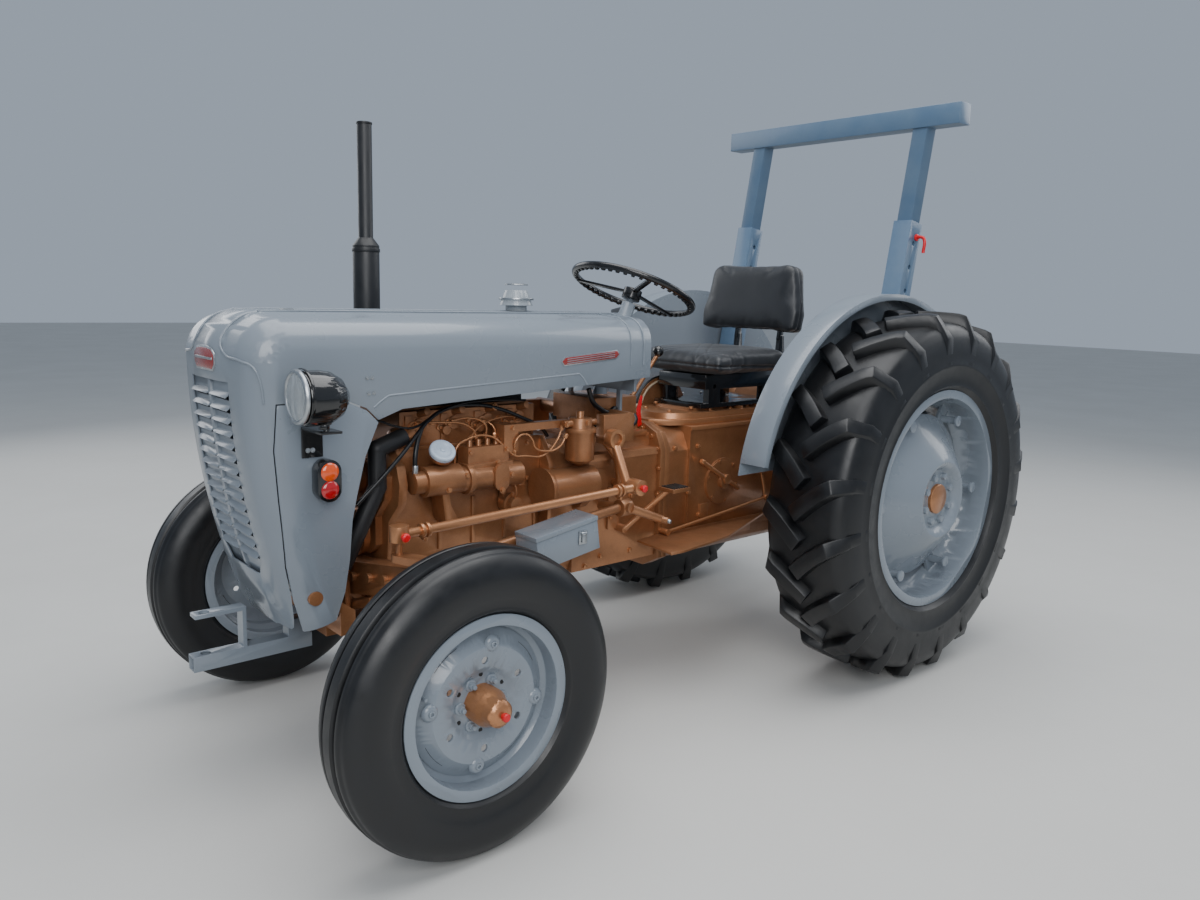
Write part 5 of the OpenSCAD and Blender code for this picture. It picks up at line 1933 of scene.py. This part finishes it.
@dataclass
class BallJoints:
    """Red dust caps and clamps on the steering joints of one side.

    Attributes:
        side: left or right.
        front: The front ball of the drag link.
        rear: Its rear ball.
    """

    side: str
    front: Point = (1885.0, 375.0, 722.0)
    rear: Point = (1086.0, 375.0, 748.0)

    def cap(self, place: Point, name: str, body: str) -> Object:
        """Makes a red cap with its collar on a ball's outer face.

        Args:
            place: The ball's middle.
            name: The piece's name.
            body: The body that it rides on.

        Returns:
            The cap.
        """
        side = SIDES[self.side]
        x, y, z = place
        cap = turned(name, [(0, 0), (8, 0), (8, 8), (11, 10), (11, 17), (7, 20), (0, 20)],
                     (x, side * (y + 20), z), (0, side, 0), 24, 0.8)
        return dressed(cap, RED_PLASTIC, body, 40)

    def clamps(self) -> Object:
        """Makes the clamps at both ends of the link's tube."""
        side = SIDES[self.side]
        parts = []
        first, last = Vector(self.front), Vector(self.rear)
        way = (last - first).normalized()
        for start, sign in ((first, 1), (last, -1)):
            for far in (58, 74):
                a = start + way * (far * sign)
                b = start + way * ((far + 9) * sign)
                parts.append(drum("clamp", (a.x, side * a.y, a.z), (b.x, side * b.y, b.z), 19, sides=28,
                                  bevel=1.5))
            c = start + way * (70 * sign)
            parts.append(drum("bolt", (c.x, side * c.y - 9, c.z - 22), (c.x, side * c.y + 9, c.z - 22), 6,
                              sides=6))
        clamps = joined(f"Drag_link_clamps_{self.side}", parts)
        return dressed(clamps, COPPER_SMOOTH, f"drag_link_{self.side}", 35)

    def build(self) -> int:
        """Builds the caps and clamps and returns the number of pieces."""
        self.cap(self.front, f"Front_ball_cap_{self.side}", f"drag_link_{self.side}")
        self.cap(self.rear, f"Rear_ball_cap_{self.side}", f"drag_link_{self.side}")
        self.clamps()
        return 3


# Seat and steering wheel


@dataclass
class Seat:
    """Vinyl cushions blown up over their foam, with sunken seams and folds.

    Attributes:
        shrink: How much smaller the foam starts on every side, in millimetres.
        cap: What a point's way levels off at, in millimetres, as the cover fills.
        voxel: Size of the cells that the foam is meshed with.
        pressure: Pressure under the cover while it fills.
        folds: Offsets of the folds over the cushion's front edge.
        stay_y: Offset of the bolts on the seat's frame.
    """

    shrink: float = 13.0
    cap: float = 13.0
    voxel: float = 6.0
    pressure: float = 3.0
    folds: tuple[float, ...] = (-150, -95, 95, 150)
    stay_y: float = 104.0

    def blown(self, solids: Solids, node: str, name: str) -> Object:
        """Turns a plain soft solid into a filled cushion of the same size.

        Args:
            solids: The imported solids.
            node: The soft solid.
            name: The cushion's name.

        Returns:
            The cushion.
        """
        pad = solids.twin(node, name)
        low, high = (Vector(c) for c in corners(pad))
        middle, size = (low + high) / 2, high - low
        inset = 2 * self.shrink * MM
        factor = [(s - inset) / s for s in size]
        pad.data.transform(Matrix.Translation(middle) @ Matrix.Diagonal((*factor,
                                                                         1.0)) @ Matrix.Translation(-middle))
        rounded(pad, 22, 4, 30)
        modify(pad, "REMESH", mode="VOXEL", voxel_size=self.voxel * MM)
        modify(pad, "SMOOTH", factor=0.5, iterations=4)
        before = [vertex.co.copy() for vertex in pad.data.vertices]
        select_only(pad)
        cover = pad.modifiers.new("Cover", "CLOTH")
        cover.settings.use_pressure = True
        cover.settings.uniform_pressure_force = self.pressure
        cover.settings.effector_weights.gravity = 0.0
        for frame in range(1, 21):
            bpy.context.scene.frame_set(frame)
        bpy.ops.object.modifier_apply(modifier=cover.name)
        bpy.context.scene.frame_set(1)
        limit = self.cap * MM
        for vertex, start in zip(pad.data.vertices, before):
            step = vertex.co - start
            vertex.co = start + step.normalized() * limit * (1 - math.exp(-step.length / limit))
            for i in range(3):
                vertex.co[i] = min(max(vertex.co[i], low[i] + 0.0005), high[i] - 0.0005)
        modify(pad, "SMOOTH", factor=0.5, iterations=9)
        modify(pad, "SUBSURF", levels=1, render_levels=1)
        return pad

    def pressed(self, pad: Object, depth: float, width: float, line: Callable[[Vector], float]) -> None:
        """Sinks a seam or a fold into a cushion.

        Args:
            pad: The cushion.
            depth: How deep the seam sinks, in millimetres.
            width: Half its width.
            line: Gives a place's distance from the seam, in millimetres.
        """
        for vertex in pad.data.vertices:
            far = line(from_axle(vertex.co))
            if abs(far) < width * 3:
                vertex.co -= vertex.normal * (depth * MM * math.exp(-((far / width) ** 2)))

    def covered(self, pad: Object, node: str) -> None:
        """Gives a cushion its vinyl and stands it in its solid's place."""
        dressed(pad, VINYL, "chassis", None)
        bpy.ops.object.shade_smooth()
        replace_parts(pad, node)

    def build(self, solids: Solids) -> int:
        """Builds both cushions and the bolts of their frame.

        Args:
            solids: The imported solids.

        Returns:
            The number of pieces.
        """
        cushion = self.blown(solids, "seat_cushion", "Seat_cushion_cover")
        self.pressed(cushion, 5.0, 4.0, lambda p: p.z - 1068 - 0.02 * p.x)
        for fold in self.folds:
            self.pressed(cushion, 1.6, 7.0, lambda p,
                         y=fold: (p.x - 560) * 0.8 + abs(p.y - y) if p.z > 1070 else 99)
        self.covered(cushion, "seat_cushion")
        back = self.blown(solids, "seat_back", "Seat_back_cover")
        self.pressed(back, 5.0, 4.0, lambda p: p.x - (150 + (1320 - p.z) * 0.14) + 14)
        self.covered(back, "seat_back")
        frame = []
        for side in (-1, 1):
            for x, z, length in ((150, 1010, 12), (470, 1000, 14)):
                outer = side * (self.stay_y + length)
                frame.append(drum("stay_bolt", (x, side * self.stay_y, z), (x, outer, z), 9, sides=6))
        dressed(joined("Seat_bolts", frame), ZINC, "chassis", 30)
        return 3


@dataclass
class SteeringWheel:
    """Finger grips under the rim, and the cap on the boss.

    Attributes:
        middle: The rim's middle.
        radius: Radius of the rim's middle line.
        lean: How far the wheel leans back, in degrees.
        grips: Number of finger grips.
    """

    middle: Point = (777.0, 0.0, 1334.0)
    radius: float = 206.0
    lean: float = 22.0
    grips: int = 48

    def build(self) -> int:
        """Builds the grips and the cap and returns the number of pieces."""
        x, _, z = self.middle
        grip = drum("grip", (x + self.radius - 3, -6, z - 7), (x + self.radius - 3, 6, z - 7), 8.5,
                    sides=10, bevel=2)
        step = 360 / self.grips
        lean = turn_about(self.middle, (0, 1, 0), -self.lean)
        whole = repeated(smoothed(grip, 60), "Steering_wheel_grips",
                         [lean @ turn_about(self.middle, (0, 0, 1), i * step) for i in range(self.grips)])
        dressed(whole, WHEEL_PLASTIC, "steering_wheel", None)
        cap = turned("Steering_wheel_cap", [(0, 14), (16, 12), (26, 6), (28, 0), (28, -8), (0, -8)],
                     (x, 0, z - 14),
                     (0, 0, 1), 40, 1)
        cap.data.transform(lean)
        dressed(cap, WHEEL_PLASTIC, "steering_wheel", 40)
        return 2


# Body, rollbar and rear end


@dataclass
class BodyTrim:
    """Lock pins, latch, bands and bolts on rollbar, toolbox, exhaust, pre-cleaner, hitch and fenders.

    Attributes:
        post: A place on the middle line of the rollbar's posts, as x and z.
        post_lean: How far the posts lean back for each millimetre up.
        pin_heights: Heights of the lock pins.
        latch: Where the toolbox's latch sits, as x and z.
        stack: Axis of the exhaust, as x and y.
        bowl: Axis of the pre-cleaner, as x and y.
        nose_bolts: Bolts on the front support's face, as y and z.
        fender_bolts: Bolts on each fender's inner face, as x and z.
    """

    post: Pair = (-262.0, 1622.0)
    post_lean: float = 0.176
    pin_heights: tuple[float, ...] = (1560, 1180)
    latch: Pair = (1318.0, 640.0)
    stack: Pair = (1618.0, -300.0)
    bowl: Pair = (1204.0, -90.0)
    nose_bolts: tuple[Pair, ...] = ((60, 470), (120, 470), (60, 520), (120, 520))
    fender_bolts: tuple[Pair, ...] = ((-60, 900), (60, 900), (180, 900), (-60, 1020), (180, 1020))

    def rollbar(self, solids: Solids) -> list[Object]:
        """Makes the red bent lock pins at the sleeves.

        Args:
            solids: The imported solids.

        Returns:
            The pins.
        """
        pieces = []
        for name, side in SIDES.items():
            for i, z in enumerate(self.pin_heights):
                axis = self.post[0] - (z - self.post[1]) * self.post_lean
                x = axis - 30
                seat = solids.skins(f"rollbar_foot_{name}", [((x, side * 700, z), (x, 0, z))])
                if not seat:
                    continue
                _, y, _ = seat[0]
                route = [(x, y - side * 4, z), (x, y + side * 26, z), (x, y + side * 34, z - 6),
                         (axis - 28, y + side * 36, z - 58)]
                pin = pipe(f"Lock_pin_{name}_{i}", route, 6)
                collar = drum("collar", (x, y, z), (x, y + side * 6, z), 13, sides=24)
                pin = joined(f"Lock_pin_{name}_{i}", [pin, collar])
                pieces.append(dressed(pin, RED_PLASTIC, "chassis", 40))
        return pieces

    def toolbox(self, solids: Solids) -> list[Object]:
        """Makes the latch on the toolbox's outer face.

        Args:
            solids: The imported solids.

        Returns:
            The latch, or nothing where the face isn't met.
        """
        x, z = self.latch
        seat = solids.skins("toolbox", [((x, 620, z), (x, 0, z))])
        if not seat:
            return []
        x, y, z = seat[0]
        backing = block("latch", (x - 15, y - 1, z - 26), (x + 15, y + 5, z + 14), 2)
        hook = drum("hook", (x - 9, y + 7, z + 6), (x + 9, y + 7, z + 6), 5.5, sides=20, bevel=1)
        tongue = block("tongue", (x - 7, y + 4, z - 20), (x + 7, y + 10, z + 4), 2)
        return [dressed(joined("Toolbox_latch", [backing, hook, tongue]), ZINC, "chassis",
                        35)]

    def exhaust(self) -> list[Object]:
        """Makes the bands round the silencer and the tail pipe's rolled end."""
        up = (0, 0, 1)
        band = [(39.5, -5), (42, -5), (42, 5), (39.5, 5)]
        parts = [turned("band", band, (*self.stack, z), up, 48, 0.8) for z in (1122, 1430)]
        parts.append(turned("cone", [(22, 28), (40, 4), (40, -2), (20, -2)], (*self.stack, 1440), up, 48,
                            0.8))
        parts.append(turned("end", [(19, -6), (23.5, -6), (23.5, 0), (19, 0)], (*self.stack, 1804.5), up,
                            40, 0.8))
        return [dressed(joined("Exhaust_bands", parts), EXHAUST_PAINT, "chassis", 35)]

    def pre_cleaner(self) -> list[Object]:
        """Makes the band and the top cap of the pre-cleaner."""
        up = (0, 0, 1)
        parts = [turned("band", [(52, 0), (56, 0), (56, 6), (52, 6)], (*self.bowl, 1292), up, 48, 0.6),
                 turned("cap", [(0, 5), (30, 4), (37, 1), (37, -2), (0, -2)], (*self.bowl, 1340), up, 48,
                        0.6)]
        return [dressed(joined("Pre_cleaner_bands", parts), ZINC, "bonnet", 35)]

    def hitch(self, solids: Solids) -> list[Object]:
        """Sets the bolts that hold the front hitch to the front support.

        Args:
            solids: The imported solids.

        Returns:
            The bolts, or nothing where the face isn't met.
        """
        lines = [((2300, side * y, z), (1800, side * y, z)) for side in (1, -1) for y, z in self.nose_bolts]
        seats = solids.skins("front_support", lines)
        if not seats:
            return []
        return [dressed(bolts("Nose_bolts", seats, (1, 0, 0), 8), ZINC, "chassis", 25)]

    def fenders(self, solids: Solids) -> list[Object]:
        """Sets the bolts that hold each fender.

        Args:
            solids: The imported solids.

        Returns:
            The bolts.
        """
        pieces = []
        for name, side in SIDES.items():
            lines = [((x, 0, z), (x, side * 700, z)) for x, z in self.fender_bolts]
            seats = solids.skins(f"fender_{name}", lines)
            if seats:
                heads = bolts(f"Fender_bolts_{name}", seats, (0, -side, 0), 7)
                pieces.append(dressed(heads, ZINC, "chassis", 25))
        return pieces

    def build(self, solids: Solids) -> int:
        """Builds the body's trim.

        Args:
            solids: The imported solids.

        Returns:
            The number of pieces.
        """
        pieces = self.rollbar(solids) + self.toolbox(solids) + self.exhaust() + self.pre_cleaner()
        return len(pieces + self.hitch(solids) + self.fenders(solids))


# Everything together


# The finish of each solid, in the order that they are dressed; a star stands for left and right
PAINT: tuple[tuple[Finish, str], ...] = (
    (COPPER_PAINT,
     "engine injection_set gearbox rear_housing lift_cover rear_axle front_support front_axle"),
    (BLACK_PAINT, "radiator"),
    (GREY_PAINT, "side_panel_* bonnet grille"),
    (BLACK_PAINT, "headlamp_* indicator_*"),
    (EXHAUST_PAINT, "exhaust"),
    (SMOKED_BOWL, "pre_cleaner"),
    (GREY_PAINT, "fuel_tank steering_column"),
    (WHEEL_PLASTIC, "steering_wheel"),
    (BLACK_PAINT, "seat_frame"),
    (GREY_PAINT, "fender_*"),
    (BAR_PAINT, "rollbar_foot_* rollbar_hoop"),
    (GREY_PAINT, "toolbox toolbox_lid"),
    (COPPER_PAINT, "footrest_*"),
    (GREY_PAINT, "front_hitch"),
    (COPPER_PAINT, "lift_arms lower_link_* lift_rod_* knuckle_*"),
    (COPPER_SMOOTH, "drop_arm_* drag_link_*"),
    (HOSE_RUBBER, "radiator_hoses"),
)

# Solids whose pins turn in each other keep their exact surfaces
PINNED = ("front_axle", "knuckle_left", "knuckle_right")
# Parts of one solid that have another finish
OTHER_FINISH: dict[str, tuple[Finish, Callable[[Vector], bool]]] = {
    "fuel_tank": (DARK_SATIN, lambda p: p.x > 947),
    "steering_column": (COPPER_PAINT, lambda p: p.z < 990),
    "gearbox": (BLACK_PAINT, lambda p: p.z > 1106 and p.x < 720),
    "engine": (DARK_SATIN, lambda p: p.z > 990 and abs(p.y) < 90),
}


def painted() -> list[tuple[str, Finish]]:
    """Lists every solid that keeps its shape, with its finish."""
    rows = []
    for finish, stems in PAINT:
        for stem in stems.split():
            names = [stem.replace("*", side) for side in SIDES] if "*" in stem else [stem]
            rows += [(name, finish) for name in names]
    return rows


def main() -> None:
    """Builds the studio, dresses the solids and adds every sub-assembly in order."""
    Studio().build()
    solids = Solids()
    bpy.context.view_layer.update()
    rows = painted()
    for node, finish in rows:
        piece = solids.finish(node, finish, 0.0 if node in PINNED else 1.5)
        if node in OTHER_FINISH:
            region(piece, *OTHER_FINISH[node])
    log.info("solids: %d finished", len(rows))
    for side in SIDES:
        log.info("rear wheel %s: %d pieces", side, RearWheel(side).build(solids))
        log.info("front wheel %s: %d pieces", side, FrontWheel(side).build(solids))
        log.info("lamp %s: %d pieces", side, Lamp(side).build())
        log.info("ball joints %s: %d pieces", side, BallJoints(side).build())
    log.info("bonnet: %d pieces", Bonnet().build(solids))
    log.info("engine bay: %d pieces", EngineBay().build(solids))
    log.info("transmission: %d pieces", Transmission().build(solids))
    log.info("seat: %d pieces", Seat().build(solids))
    log.info("steering wheel: %d pieces", SteeringWheel().build())
    log.info("body trim: %d pieces", BodyTrim().build(solids))


if __name__ == "__main__":
    logging.basicConfig(level=logging.INFO, format="%(message)s")
    main()
